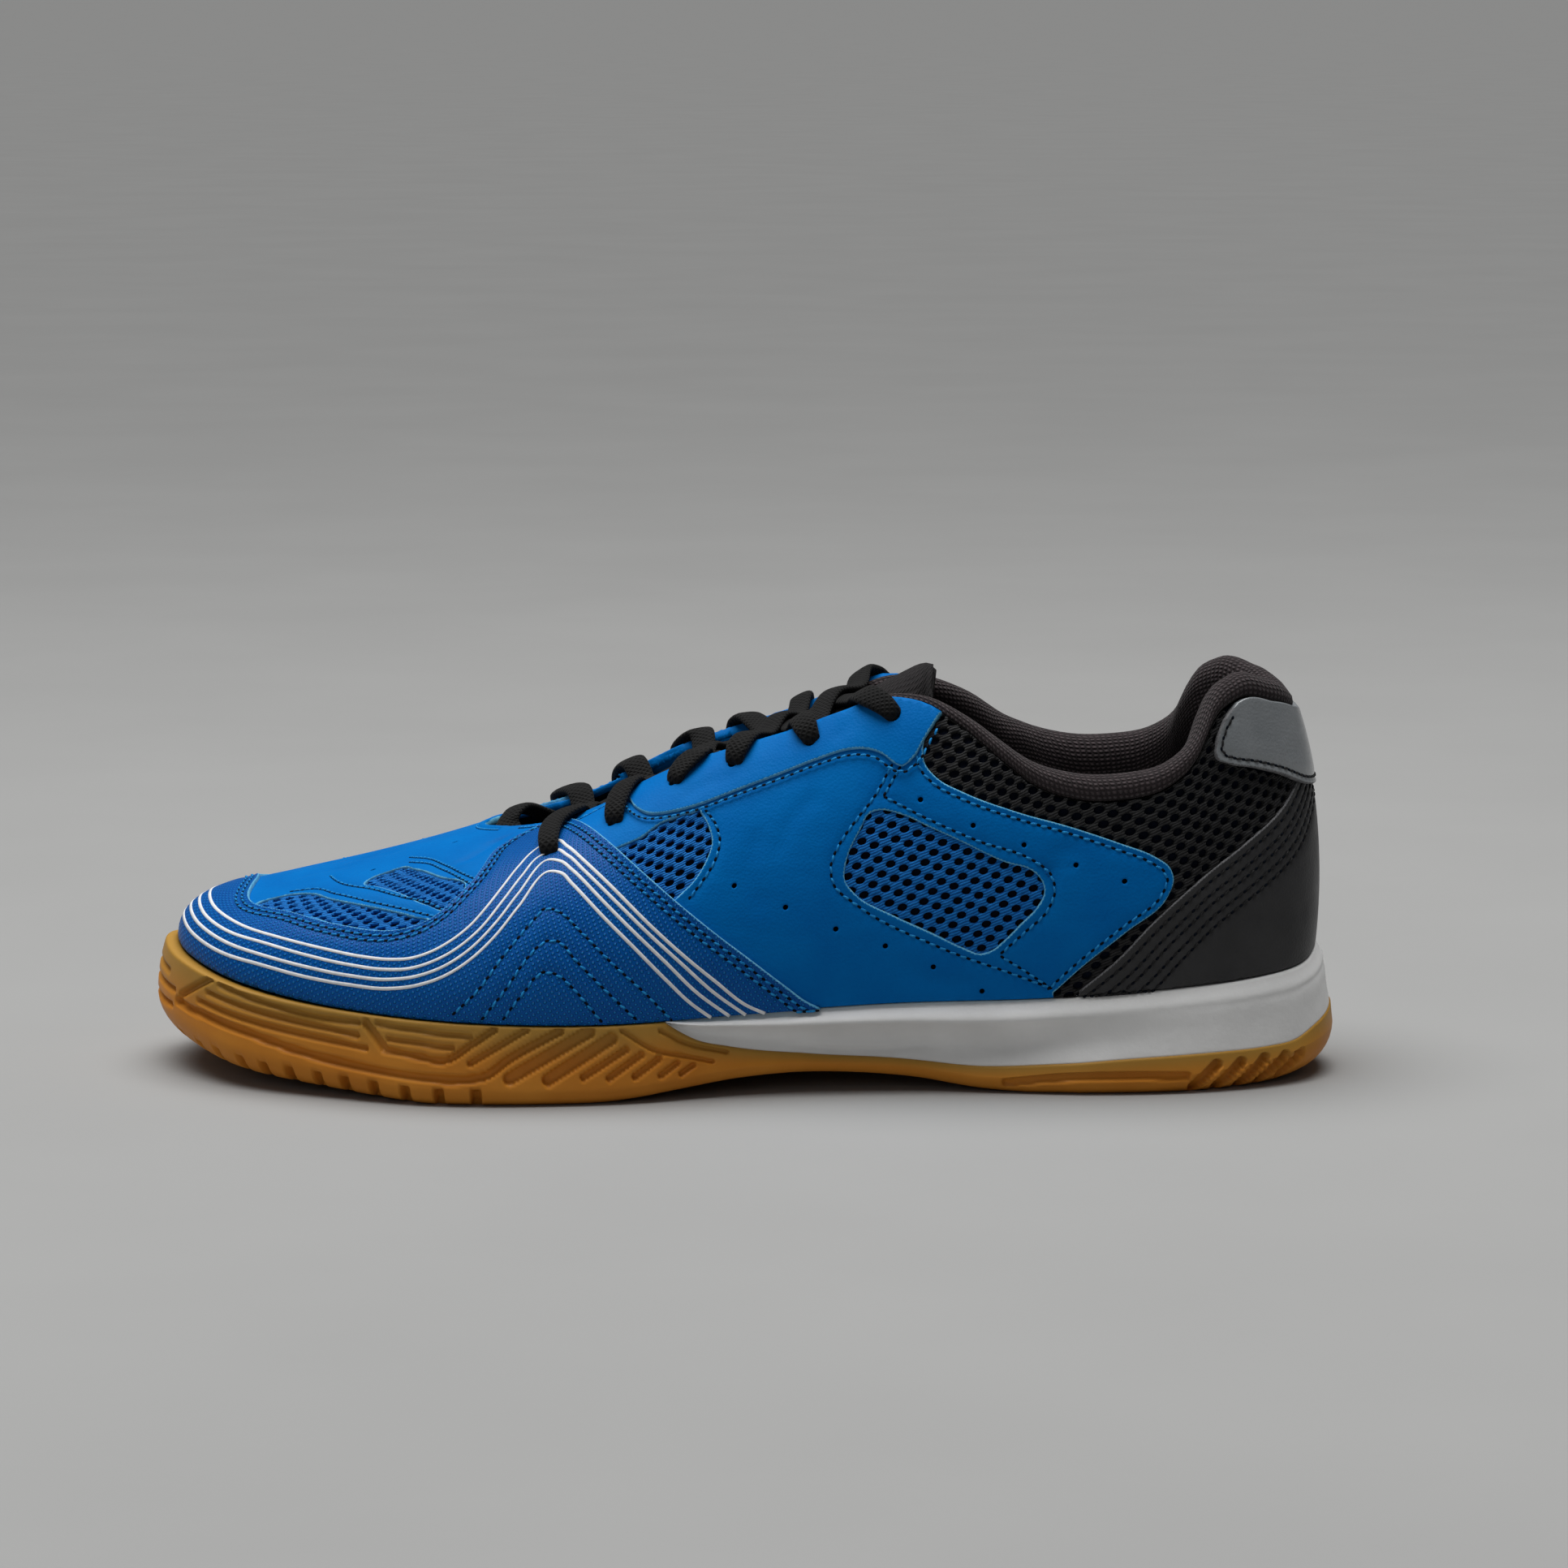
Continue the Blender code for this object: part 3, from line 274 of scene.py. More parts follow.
# Pattern lines of the outer side, in pixels of the photograph, and heights where they pass toe or heel
GUARD_EDGE = [
    (1011, 1246), (994, 1234), (968, 1215), (927, 1184), (879, 1148), (844, 1120), (799, 1081), (751, 1038),
    (726, 1019), (707, 1011), (690, 1011), (665, 1019), (646, 1028), (617, 1045), (592, 1075), (582, 1088),
    (562, 1108), (542, 1126), (522, 1138), (494, 1146), (461, 1147), (434, 1143), (403, 1137), (359, 1125),
    (315, 1115),
]
GUARD_TIP_HEIGHT = 44.4
STRIPES = [
    [
        (942, 1252), (920, 1238), (880, 1208), (840, 1176), (800, 1140), (760, 1100), (720, 1062),
        (700, 1045), (685, 1038), (672, 1042), (660, 1050), (640, 1070), (620, 1095), (600, 1120),
        (580, 1142), (560, 1158), (540, 1170), (510, 1181), (480, 1183), (450, 1180), (400, 1170),
        (340, 1155), (300, 1142), (280, 1131),
    ],
    [
        (918, 1254), (880, 1223), (840, 1188), (800, 1152), (760, 1113), (720, 1074), (700, 1056),
        (682, 1050), (665, 1058), (645, 1080), (620, 1112), (590, 1148), (560, 1172), (530, 1187),
        (505, 1194), (475, 1195), (430, 1189), (380, 1178), (320, 1161), (290, 1152),
    ],
    [
        (898, 1256), (860, 1224), (820, 1186), (780, 1148), (740, 1108), (705, 1073), (691, 1063),
        (675, 1062), (640, 1102), (610, 1140), (580, 1170), (550, 1190), (515, 1203), (480, 1207),
        (430, 1202), (380, 1192), (320, 1176), (285, 1164),
    ],
    [
        (875, 1257), (850, 1235), (820, 1207), (780, 1167), (740, 1127), (705, 1090), (691, 1077),
        (676, 1076), (640, 1118), (610, 1155), (580, 1183), (550, 1202), (515, 1214), (480, 1218),
        (430, 1213), (380, 1204), (320, 1188), (280, 1176),
    ],
]
STRIPE_TIP_HEIGHTS = [40.6, 39.3, 37.8, 36.0]
CHEVRONS = [
    [
        (560, 1248), (585, 1225), (624, 1174), (662, 1130), (672, 1120), (686, 1123), (716, 1149),
        (754, 1187), (796, 1225), (826, 1255),
    ],
    [
        (595, 1254), (621, 1222), (656, 1174), (670, 1161), (687, 1160), (707, 1181), (751, 1225),
        (782, 1254),
    ],
    [(621, 1254), (646, 1222), (668, 1198), (684, 1200), (710, 1222), (740, 1257)],
]
VAMP_LOW = [
    (880, 960), (872, 985), (860, 997), (840, 1003), (810, 1015), (790, 1030), (765, 1041), (740, 1052),
    (715, 1045), (698, 1037), (680, 1036), (655, 1046), (630, 1066), (606, 1092), (585, 1118), (558, 1143),
    (525, 1160), (490, 1168), (445, 1166), (400, 1158), (350, 1144), (310, 1134),
]
VAMP_TIP_HEIGHT = 41.0
VAMP_WINDOWS = [
    [
        (322, 1109), (359, 1100), (380, 1099), (407, 1106), (457, 1116), (508, 1128), (526, 1134),
        (508, 1144), (464, 1150), (434, 1145), (386, 1128),
    ],
    [
        (449, 1087), (464, 1077), (494, 1067), (511, 1069), (542, 1079), (572, 1091), (566, 1103),
        (549, 1118), (525, 1113), (494, 1099), (464, 1090),
    ],
]
VAMP_ROWS = [
    [(407, 1077), (420, 1086), (457, 1093), (494, 1103), (528, 1111), (548, 1121)],
    [(359, 1096), (386, 1093), (413, 1099), (460, 1110), (508, 1121), (535, 1128)],
    [(505, 1054), (522, 1055), (549, 1064), (569, 1074), (592, 1084)],
    [(505, 1060), (522, 1061), (547, 1070), (567, 1080), (585, 1090)],
    [(640, 1018), (680, 1014), (716, 1006), (750, 988), (772, 979)],
]
VAMP_HOLES = [(560, 1036), (459, 1070)]
QUARTER_FRONT = [
    (1000, 1262), (960, 1234), (915, 1203), (870, 1170), (835, 1140), (822, 1120), (836, 1104), (855, 1085),
    (870, 1060), (877, 1040), (872, 1015), (862, 997), (860, 980), (880, 968), (920, 952), (970, 934),
    (1012, 918), (1044, 906), (1075, 900), (1110, 900), (1140, 905),
]
QUARTER_REAR = [
    (1140, 905), (1137, 921), (1139, 939), (1154, 958), (1187, 976), (1246, 998), (1313, 1017),
    (1380, 1039), (1424, 1056), (1442, 1069), (1447, 1083), (1439, 1106), (1387, 1150), (1335, 1191),
    (1298, 1224),
]
WINDOW = [
    (1082, 998), (1110, 1003), (1145, 1019), (1180, 1035), (1240, 1063), (1272, 1073), (1283, 1084),
    (1287, 1100), (1279, 1117), (1258, 1139), (1237, 1160), (1222, 1172), (1207, 1176), (1190, 1170),
    (1150, 1151), (1100, 1128), (1054, 1102), (1041, 1084), (1043, 1061), (1061, 1020), (1071, 1002),
]
SMALL_WINDOW = [(745, 1040), (800, 1010), (860, 990), (885, 1010), (885, 1050), (860, 1095), (830, 1118)]
QUARTER_ROWS = [
    [
        (1091, 982), (1139, 1007), (1202, 1035), (1276, 1062), (1294, 1076), (1300, 1098), (1291, 1122),
        (1262, 1150), (1235, 1174),
    ],
    [
        (1098, 943), (1076, 983), (1055, 1010), (1035, 1039), (1024, 1065), (1026, 1087), (1058, 1117),
        (1158, 1168), (1254, 1203), (1294, 1218),
    ],
    [(1108, 946), (1090, 978)],
    [(1235, 1180), (1261, 1196), (1287, 1213)],
    [(870, 998), (882, 1015), (887, 1037), (881, 1060), (868, 1082), (850, 1106)],
]
QUARTER_HOLES = [
    (905, 1091), (968, 1118), (1030, 1145), (1091, 1166), (1150, 1192), (1210, 1222), (1134, 985),
    (1199, 1017), (1262, 1041), (1326, 1066), (1386, 1086),
]
STAY_LOW = [
    (772, 972), (776, 985), (783, 995), (800, 1003), (830, 1000), (860, 992), (900, 977), (950, 958),
    (1012, 934), (1044, 924), (1068, 923), (1087, 929), (1103, 941), (1111, 944), (1122, 937), (1141, 907),
    (1160, 876),
]
COUNTER_FRONT = [
    (1330, 1222), (1380, 1181), (1417, 1142), (1469, 1094), (1528, 1046), (1580, 998), (1599, 966),
]
COUNTER_ROW_STEPS = [2.2, 5.0, 7.2, 10.0, 12.4]
COUNTER_BACK_HEIGHT = 81.0
PATCH_LOW = [(1524, 862), (1508, 888), (1499, 915), (1498, 933), (1514, 941), (1545, 946), (1568, 951)]
PATCH_BACK_HEIGHT = 71.0
EYELETS = [(678, 1050), (757, 1009), (833, 962), (906, 938), (1000, 911), (1100, 880)]

# Creases: depth, width, then the line in pixels
QUARTER_CREASES = [
    (0.22, 0.8, [(1324, 1068), (1308, 1071), (1291, 1072)]),
    (0.35, 3.0, [(1318, 1046), (1303, 1060), (1292, 1080)]),
    (0.3, 2.6, [(1000, 985), (975, 1010), (962, 1040)]),
    (0.3, 3.0, [(930, 1040), (922, 1075), (935, 1110)]),
    (0.25, 2.2, [(1120, 1195), (1150, 1210), (1185, 1215)]),
]
VAMP_CREASES = [
    (0.5, 2.6, [(612, 1034), (598, 1044), (578, 1056)]),
    (0.35, 3.0, [(405, 1068), (440, 1056), (480, 1049)]),
    (0.3, 2.4, [(350, 1084), (385, 1073), (425, 1066)]),
]
COUNTER_CREASES = [
    (0.3, 2.2, [(1540, 1130), (1575, 1122), (1606, 1124)]),
    (0.3, 2.4, [(1480, 1180), (1530, 1172), (1580, 1176)]),
]
STAY_CREASES = [
    (0.3, 2.4, [(850, 978), (872, 966), (898, 960)]),
    (0.3, 2.6, [(1035, 905), (1050, 893), (1058, 880)]),
]
CREASE_STEP = 0.6

# The throat's welt as a raised line, how far below the edge it and its tack are, and the tack's stations
THROAT_WELT = (-0.45, 1.1)
WELT_BELOW = 1.1
TACK_BELOW = 2.4
TACK_STEP = 0.5
TACK_REACH = 8
TACK_TURNS = np.linspace(THROAT_END - TACK_REACH, 360 + TACK_REACH - THROAT_END, 61)

# The sole's side, in pixels: the line between foam and gum, and the sole's lower edge at the toe
GUM_LINE = [
    (822, 1262), (840, 1273), (860, 1283), (900, 1292), (1000, 1303), (1100, 1308), (1200, 1317),
    (1300, 1313), (1400, 1305), (1500, 1297), (1560, 1290), (1600, 1280), (1620, 1265),
]
SOLE_BOTTOM = [
    (193, 1220), (200, 1245), (215, 1262), (240, 1280), (300, 1305), (380, 1323), (470, 1340), (600, 1350),
]
GUM_BACK_HEIGHT = 17.0

# Grooves of the gum's side: width, depth, then the line in pixels
SOLE_GROOVES = [
    (1.3, 0.9, [(268, 1214), (322, 1236), (386, 1253), (440, 1261)]),
    (2.2, 1.1, [(450, 1262), (474, 1294)]),
    (1.6, 1.0, [(474, 1294), (510, 1301), (549, 1307), (580, 1289), (609, 1270)]),
    (1.4, 0.9, [(254, 1223), (339, 1253), (439, 1276)]),
    (1.4, 0.9, [(244, 1233), (339, 1267), (450, 1292)]),
    (2.0, 1.1, [
        (221, 1233), (262, 1256), (305, 1273), (373, 1297), (440, 1314), (508, 1326), (569, 1331),
        (599, 1326), (626, 1307), (690, 1272),
    ]),
    (1.3, 0.8, [(464, 1262), (579, 1279)]),
    (1.3, 0.8, [(478, 1280), (557, 1292)]),
    (1.5, 0.9, [(579, 1311), (649, 1270)]),
    (3.0, 1.2, [(628, 1330), (726, 1273)]),
    (3.0, 1.2, [(676, 1331), (754, 1281)]),
    (1.6, 0.9, [(719, 1328), (772, 1294)]),
    (1.6, 0.9, [(751, 1329), (791, 1300)]),
    (1.6, 0.9, [(783, 1327), (813, 1305)]),
    (1.5, 0.8, [(815, 1326), (836, 1311)]),
    (1.4, 0.8, [(841, 1324), (856, 1314)]),
    (1.1, 0.7, [(767, 1271), (809, 1295), (847, 1303), (880, 1310)]),
    (1.1, 0.7, [(815, 1271), (847, 1287), (898, 1299)]),
    (1.6, 1.0, [(264, 1203), (224, 1226)]),
    (2.0, 0.9, [(1240, 1336), (1320, 1328), (1400, 1326), (1462, 1326)]),
    (2.6, 1.6, [(1472, 1340), (1500, 1312)]),
    (2.6, 1.6, [(1501, 1340), (1530, 1309)]),
    (2.6, 1.6, [(1530, 1338), (1559, 1304)]),
    (2.4, 1.5, [(1556, 1333), (1584, 1300)]),
    (2.2, 1.4, [(1581, 1325), (1604, 1296)]),
]
GROOVE_GAIN = 1.55
GROOVE_MARGIN = 0.2
GROOVE_SLOPE = 0.45
TOE_RIBS = columns("share first", [(0.46, 166), (0.64, 165), (0.8, 168)])
TOE_RIB_SIZE = (1.4, 0.9)
TOE_RIB_POINTS = 60

# Notches along the toe's lower edge: places in pixels, then width, depth and height
NOTCH_PLACES = [202, 219, 241, 263, 293, 322, 354, 390, 423, 459, 498, 540, 586]
NOTCH_SIZE = (2.3, 3.2, 4.6)
NOTCH_MARGIN = 0.3
NOTCH_SLOPES = (0.6, 0.8)

# The sole leans in under the arch between two stations, each with the length of its slope
ARCH_DEPTH = 3.6
ARCH_START = (56, 16)
ARCH_STOP = (99, 14)

# The gum's rows: its rounded lower edge, side and shoulder, then the inside, which stays plain
GUM_SECTIONS = 2000
ROUND_LIMIT = 0.8
ROUND_ROWS = 11
SIDE_ROWS = 25
GUM_LEAN = 0.5
GUM_LIP = 0.6
GUM_SHOULDER = ((0.62, 0.3), (0.9, 0.08), (1.3, 0.0), (4.0, 0.0), (4.2, 3.0))
GUM_INSIDE = (5.0, 1.0)
PLAIN_ROWS = 6
TOE_BULGE = 1.8
TOE_SPAN = 16

# Tread: its thickness, a zigzag across the shoe, and channels along it
TREAD_SLAB = 3.0
TREAD_TURNS = np.linspace(0.3, 179.7, 300)
TREAD_PARTS = np.linspace(0, 1, 91)
TREAD_HALF = 0.46
ZIGZAG_WIDTH = 12
ZIGZAG_REACH = 9
CHANNEL_PITCH = 6
CHANNEL_CUT = 2.2
CHANNEL_SLOPE = 6
CHANNEL_DEPTH = 1.2

# Lace: section, widths where it is pinched, and heights above or below the upper's face
LACE_WIDTH = 6.2
LACE_SECTIONS = 64
LACE_POINTS = 18
LACE_CORNER = 0.75
PINCH_SWELL = 0.35
LACE_UNDER = -3.5
UNDER_WIDTHS = (5.0, 6.0)
OVER_LIFTS = (-3.0, 0.3, 1.5, 1.3)
OVER_WIDTHS = (3.4, 4.6, 6.0, LACE_WIDTH)

# Leather under the lace at each pair of eyelets and at the throat's edge after it
EYE_TOPS = [GUARD_TOP, BASE_TOP, STAY_TOP, STAY_TOP, STAY_TOP, STAY_TOP]
EDGE_TOPS = [BASE_TOP, STAY_TOP, STAY_TOP, STAY_TOP, STAY_TOP]

# Each crossing, as parts of the way to the next eyelets: where it leaves the near edge, rests on the
# tongue and reaches the far edge. The first four start over the leather, the first three end under it
NEAR_PARTS = [0.4, 0.33, 0.42, 0.15, 0.0]
REST_PARTS = [(0.5, 0.58, 0.7)] * 3 + [(0.45, 0.64, 0.82), (0.16, 0.34, 0.58)]
FAR_PARTS = [0.82, 0.82, 0.82, 0.95, 0.76]
OVER_STARTS = 4
UNDER_ENDS = 3

# Parts of the way across the tongue, heights above it for the two strands, and the way they face
CROSS_PARTS = (0.28, 0.5, 0.72)
STRAND_LIFTS = ((1, (2.4, 3.7, 2.0)), (-1, (1.6, 1.4, 1.5)))
CROWN_FACE = (-0.35, 0.0, 0.94)

# The first run, across the front of the throat: where along the shoe, and heights above the tongue
BAR_ALONG = [-56.0, -57.0, -54.5, -52.0, -48.0]
BAR_PARTS = (0.25, 0.5, 0.75)
BAR_LIFTS = (5.0, 7.0, 6.0)

# Floor, world and the place that the lights shine on, in metres
FLOOR_SIZE = 400
WORLD_COLOUR = (0.5, 0.5, 0.51, 1)
WORLD_STRENGTH = 0.16
LIT_PLACE = (0, 0, 0.05)


def hermite(knots, values, at):
    """A smooth curve through table rows, with slopes taken from the neighbouring rows."""
    slopes = np.gradient(values, knots)
    i = np.clip(np.searchsorted(knots, at, side="right") - 1, 0, len(knots) - 2)
    span = knots[i + 1] - knots[i]
    t = (at - knots[i]) / span
    rest = 1 - t
    return (
        values[i] * (1 + 2 * t) * rest**2
        + values[i + 1] * (3 - 2 * t) * t**2
        + span * t * rest * (slopes[i] * rest - slopes[i + 1] * t)
    )


def curve(knots, points, at):
    """A smooth curve through points, at places between its knots."""
    return np.stack([hermite(knots, column, at) for column in points.T], -1)


def bezier(start, lead, trail, end, t):
    """Points of a cubic curve between two ends, with two handles."""
    rest = 1 - t
    return start * rest**3 + 3 * lead * t * rest**2 + 3 * trail * t**2 * rest + end * t**3


def unit(vectors):
    """Vectors brought to length 1."""
    return vectors / np.linalg.norm(vectors, axis=-1, keepdims=True)


def cross(one, two):
    """Area between flat vectors, above 0 where the second lies to the left of the first."""
    return one[..., 0] * two[..., 1] - one[..., 1] * two[..., 0]


def length_of(points, axis=0):
    """Running lengths along a line of points, or along one axis of a grid."""
    steps = np.diff(points, axis=axis, prepend=np.take(points, [0], axis))
    return np.cumsum(np.linalg.norm(steps, axis=-1), axis=axis)


def folded(stations):
    """Stations of both sides as those of the outer one."""
    return 180 - np.abs(180 - np.asarray(stations, float) % 360)


def both_sides(table, name, stations):
    """A column that is the same on both sides, level where it passes heel and toe."""
    knots, values = table["station"], table[name]
    if knots[0] == 0 and knots[-1] == 180:
        knots = np.concatenate([-knots[2:0:-1], knots, 360 - knots[-2:-4:-1]])
        values = np.concatenate([values[2:0:-1], values, values[-2:-4:-1]])
    return hermite(knots, values, folded(stations))


def across(table, stations):
    """Where the outline lies across the shoe: lateral up to the toe, then medial."""
    knots = np.concatenate([table["station"], 360 - table["station"][-2::-1]])
    values = np.concatenate([table["lateral"], table["medial"][-2::-1]])
    knots = np.concatenate([knots[-3:-1] - 360, knots, knots[1:3] + 360])
    values = np.concatenate([values[-3:-1], values, values[1:3]])
    return hermite(knots, values, np.asarray(stations, float) % 360)


def outline(table, length, stations):
    """Points of a plan outline, as x and y."""
    angles = np.radians(stations)
    return np.stack([length / 2 * np.cos(angles), across(table, stations)], -1)


def outward(table, length, stations):
    """Unit vectors square to a plan outline, pointing out of it."""
    step = 0.5
    run = outline(table, length, stations + step) - outline(table, length, stations - step)
    return unit(np.stack([-run[..., 1], run[..., 0]], -1))


def inset(table, length, stations, distance):
    """The outline moved inwards by a distance."""
    moved = np.asarray(distance, float)[..., None] * outward(table, length, stations)
    return outline(table, length, stations) - moved


def with_height(plan, height):
    """Plan points or directions with a height."""
    return np.concatenate([plan, np.broadcast_to(height, plan.shape[:-1])[..., None]], -1)


def foot_height(stations):
    """Height of the upper's lower edge."""
    return both_sides(RIBS, "height", stations)


def rim_line(stations):
    """The upper's upper edge, along collar and throat."""
    medial = np.asarray(stations) % 360 > 180
    height = both_sides(RIM, "height", stations) + medial * both_sides(RIM, "lift", stations)
    plan = np.stack([both_sides(RIM, "along", stations), across(RIM, stations)], -1)
    return with_height(plan, height)


def upper(stations, share):
    """Points on the upper's outer face: share is 0 at the foot line and 1 at the rim."""
    foot = with_height(outline(RIBS, UPPER_LENGTH, stations), foot_height(stations))
    rim = rim_line(stations)
    size = {name: both_sides(RIBS, name, stations) for name in ("rise", "bulge", "run", "drop")}
    bulge = size["bulge"][..., None] * outward(RIBS, UPPER_LENGTH, stations)
    reach = size["run"][..., None] * unit((foot - rim)[..., :2])
    low, high = foot + with_height(bulge, size["rise"]), rim + with_height(reach, -size["drop"])
    return bezier(foot, low, high, rim, np.asarray(share, float)[..., None])


def upper_normal(stations, share):
    """Unit vectors square to the upper's outer face, pointing away from the foot."""
    turn, climb = 0.4, 0.01
    share = np.asarray(share, float)
    round_it = upper(stations + turn, share) - upper(stations - turn, share)
    above, below = np.minimum(share + climb, 1), np.maximum(share - climb, 0)
    return unit(np.cross(upper(stations, above) - upper(stations, below), round_it))


def off_upper(stations, share, distance):
    """Points at a distance out from the upper's outer face."""
    return upper(stations, share) + np.asarray(distance)[..., None] * upper_normal(stations, share)


def share_below(stations, distance):
    """The share of each rib at a distance down from the rim, measured along the rib."""
    shares = np.linspace(1, 0, 81)
    stations, distance = np.broadcast_arrays(np.asarray(stations, float), distance)
    found = []
    for station, want in zip(stations.ravel(), distance.ravel()):
        found.append(np.interp(want, length_of(upper(np.full_like(shares, station), shares)), shares))
    return np.array(found).reshape(stations.shape)


def share_at_height(station, height):
    """The share at which a rib reaches a height."""
    shares = np.linspace(0, 1, 201)
    return np.interp(height, upper(np.full_like(shares, station), shares)[:, 2], shares)


def wall(stations, share):
    """Points on an upright wall over the sole's outline."""
    return with_height(outline(SOLE, SOLE_LENGTH, stations), WALL_HEIGHT * np.asarray(share))


def sight():
    """Directions along the line of sight and up across it."""
    tilt = math.radians(SIGHT_ELEVATION)
    return np.array([0, math.cos(tilt), -math.sin(tilt)]), np.array([0, math.sin(tilt), math.cos(tilt)])


def on_sheet(points):
    """Where points appear on a sheet square to the line of sight."""
    ahead, up = sight()
    seen = points - (SHEET_CENTRE - SIGHT_DISTANCE * ahead)
    scale = SIGHT_DISTANCE / (seen @ ahead)
    return np.stack([scale * seen[..., 0], scale * (seen @ up)], -1)


def tree_of(points):
    """A search tree over points of a plane."""
    tree = KDTree(len(points))
    for i, point in enumerate(points):
        tree.insert((point[0], point[1], 0), i)
    tree.balance()
    return tree


def found_in(tree, points):
    """Number of the tree's point nearest to each point, and its distance."""
    found = [tree.find((x, y, 0))[1:] for x, y in points]
    return np.array([number for number, _ in found], int), np.array([gap for _, gap in found])


def nearest(points, targets):
    """Distance from each point to the nearest of the targets."""
    return found_in(tree_of(targets), points)[1]


def sighting(surface, shown):
    """A search for the places on a surface that pixels of the photograph show."""
    turns, shares = np.meshgrid(SEARCH_TURNS, SEARCH_SHARES)
    grid = np.stack([turns.ravel(), shares.ravel()], -1)
    grid = grid[shown(*grid.T)]
    tree = tree_of(on_sheet(surface(*grid.T)))
    turn, climb = SEARCH_STEP

    def located(pixels):
        drawn = (np.array(pixels, float) - PHOTO_CENTRE) * (1, -1) / PIXELS_PER_MM
        at = grid[found_in(tree, drawn)[0]]
        for _ in range(SEARCH_ROUNDS):
            here = on_sheet(surface(*at.T))
            along = (on_sheet(surface(at[:, 0] + turn, at[:, 1])) - here) / turn
            up = (on_sheet(surface(at[:, 0], at[:, 1] + climb)) - here) / climb
            miss = drawn - here
            move = np.stack([cross(miss, up), cross(along, miss)], -1) / cross(along, up)[:, None]
            at = at + np.clip(np.nan_to_num(move), -SEARCH_REACH, SEARCH_REACH)
            at[:, 1] = np.clip(at[:, 1], 0, 1)
        return at

    return located


seen_upper = sighting(
    lambda turn, share: off_upper(turn, share, SIGHT_LIFT),
    lambda turn, share: upper_normal(turn, share)[:, 1] < TURNED_AWAY,
)
seen_wall = sighting(wall, lambda turn, share: turn > 0)


def on_upper(pixels):
    """Station and share of pixels on the upper's outer side."""
    return np.maximum(seen_upper(pixels), (0, FOOT_SHARE))


def on_wall(pixels):
    """Station and height of pixels on the sole's side."""
    return seen_wall(pixels) * (1, WALL_HEIGHT)


def same(at):
    """Places of the outer side, where they are."""
    return np.asarray(at, float)


def mirrored(at):
    """Places of the outer side, on the inner side."""
    return np.asarray(at, float) * (-1, 1) + (360, 0)


def opposite(at):
    """Places of the outer side, on the inner side, past the heel."""
    return np.asarray(at, float) * (-1, 1)


# The upper rolled out flat: millimetres round the shoe, along one ring, and up each rib
FLAT_TURNS = np.arange(-130.0, 491.0)
FLAT_SHARES = np.linspace(0, 1, 61)
FLAT_RING = 18
FLAT_GRID = upper(*np.meshgrid(FLAT_TURNS, FLAT_SHARES, indexing="ij"))
FLAT_UP = length_of(FLAT_GRID, 1)
FLAT_ALONG = length_of(FLAT_GRID[:, FLAT_RING])


def rib_lengths(stations):
    """Lengths up the ribs at each of the flat shares."""
    i = np.clip((stations - FLAT_TURNS[0]).astype(int), 0, len(FLAT_TURNS) - 2)
    part = (stations - FLAT_TURNS[i])[:, None]
    return FLAT_UP[i] * (1 - part) + FLAT_UP[i + 1] * part


def to_flat(at):
    """Station and share as flat millimetres."""
    stations, shares = np.asarray(at, float).T
    rows = rib_lengths(stations)
    last = len(FLAT_SHARES) - 1
    j = np.clip((shares * last).astype(int), 0, last - 1)
    part = shares * last - j
    pick = np.arange(len(rows))
    up = rows[pick, j] * (1 - part) + rows[pick, j + 1] * part
    return np.stack([np.interp(stations, FLAT_TURNS, FLAT_ALONG), up], -1)


def from_flat(points):
    """Flat millimetres as stations and shares."""
    along, up = np.asarray(points, float).T
    stations = np.interp(along, FLAT_ALONG, FLAT_TURNS)
    rows = rib_lengths(stations)
    last = len(FLAT_SHARES) - 1
    j = np.clip((rows <= up[:, None]).sum(axis=1) - 1, 0, last - 1)
    pick = np.arange(len(rows))
    part = np.clip((up - rows[pick, j]) / (rows[pick, j + 1] - rows[pick, j]), 0, 1)
    return stations, (j + part) / last


def placed(points, level):
    """Flat points on the shoe, at a level above the upper's face."""
    stations, shares = from_flat(points)
    return off_upper(stations, shares, np.asarray(level, float) + 0 * stations)


def through(points, step=None, closed=False, count=None):
    """A smooth line through points, as even steps."""
    points = np.asarray(points, float)
    if closed:
        points = np.concatenate([points[-3:], points, points[:4]])
    knots = length_of(points)
    first, last = (knots[3], knots[-4]) if closed else (knots[0], knots[-1])
    count = count or max(2, math.ceil((last - first) / step))
    made = curve(knots, points, np.linspace(first, last, count + 1))
    return made[:-1] if closed else made


def aside(path, distance):
    """A flat line moved to its left by a distance."""
    lead = unit(np.gradient(path, axis=0))
    return path + distance * np.stack([-lead[:, 1], lead[:, 0]], -1)


def inside(points, loop):
    """Which points are in a closed loop."""
    x, y = points.T
    crossed = np.zeros(len(points), bool)
    for (x0, y0), (x1, y1) in zip(loop, np.roll(loop, -1, axis=0)):
        if y0 != y1:
            crossed ^= ((y0 > y) != (y1 > y)) & (x < x0 + (y - y0) * (x1 - x0) / (y1 - y0))
    return crossed


def between(points, loops):
    """Which points are in the first loop and in none of the others."""
    kept = inside(points, loops[0])
    for hole in loops[1:]:
        kept &= ~inside(points, hole)
    return kept


def turned_to(loop, sign):
    """A flat loop that runs left about (1) or right about (-1)."""
    return loop if cross(loop, np.roll(loop, -1, axis=0)).sum() * sign > 0 else loop[::-1]


def line_at(at, step=EDGE_STEP):
    """A smooth flat line through stations and shares."""
    return through(to_flat(at), step)


def line_of(pixels, side, step=SEAM_STEP):
    """A smooth flat line through pixels of the photograph, on one side of the shoe."""
    return line_at(side(on_upper(pixels)), step)


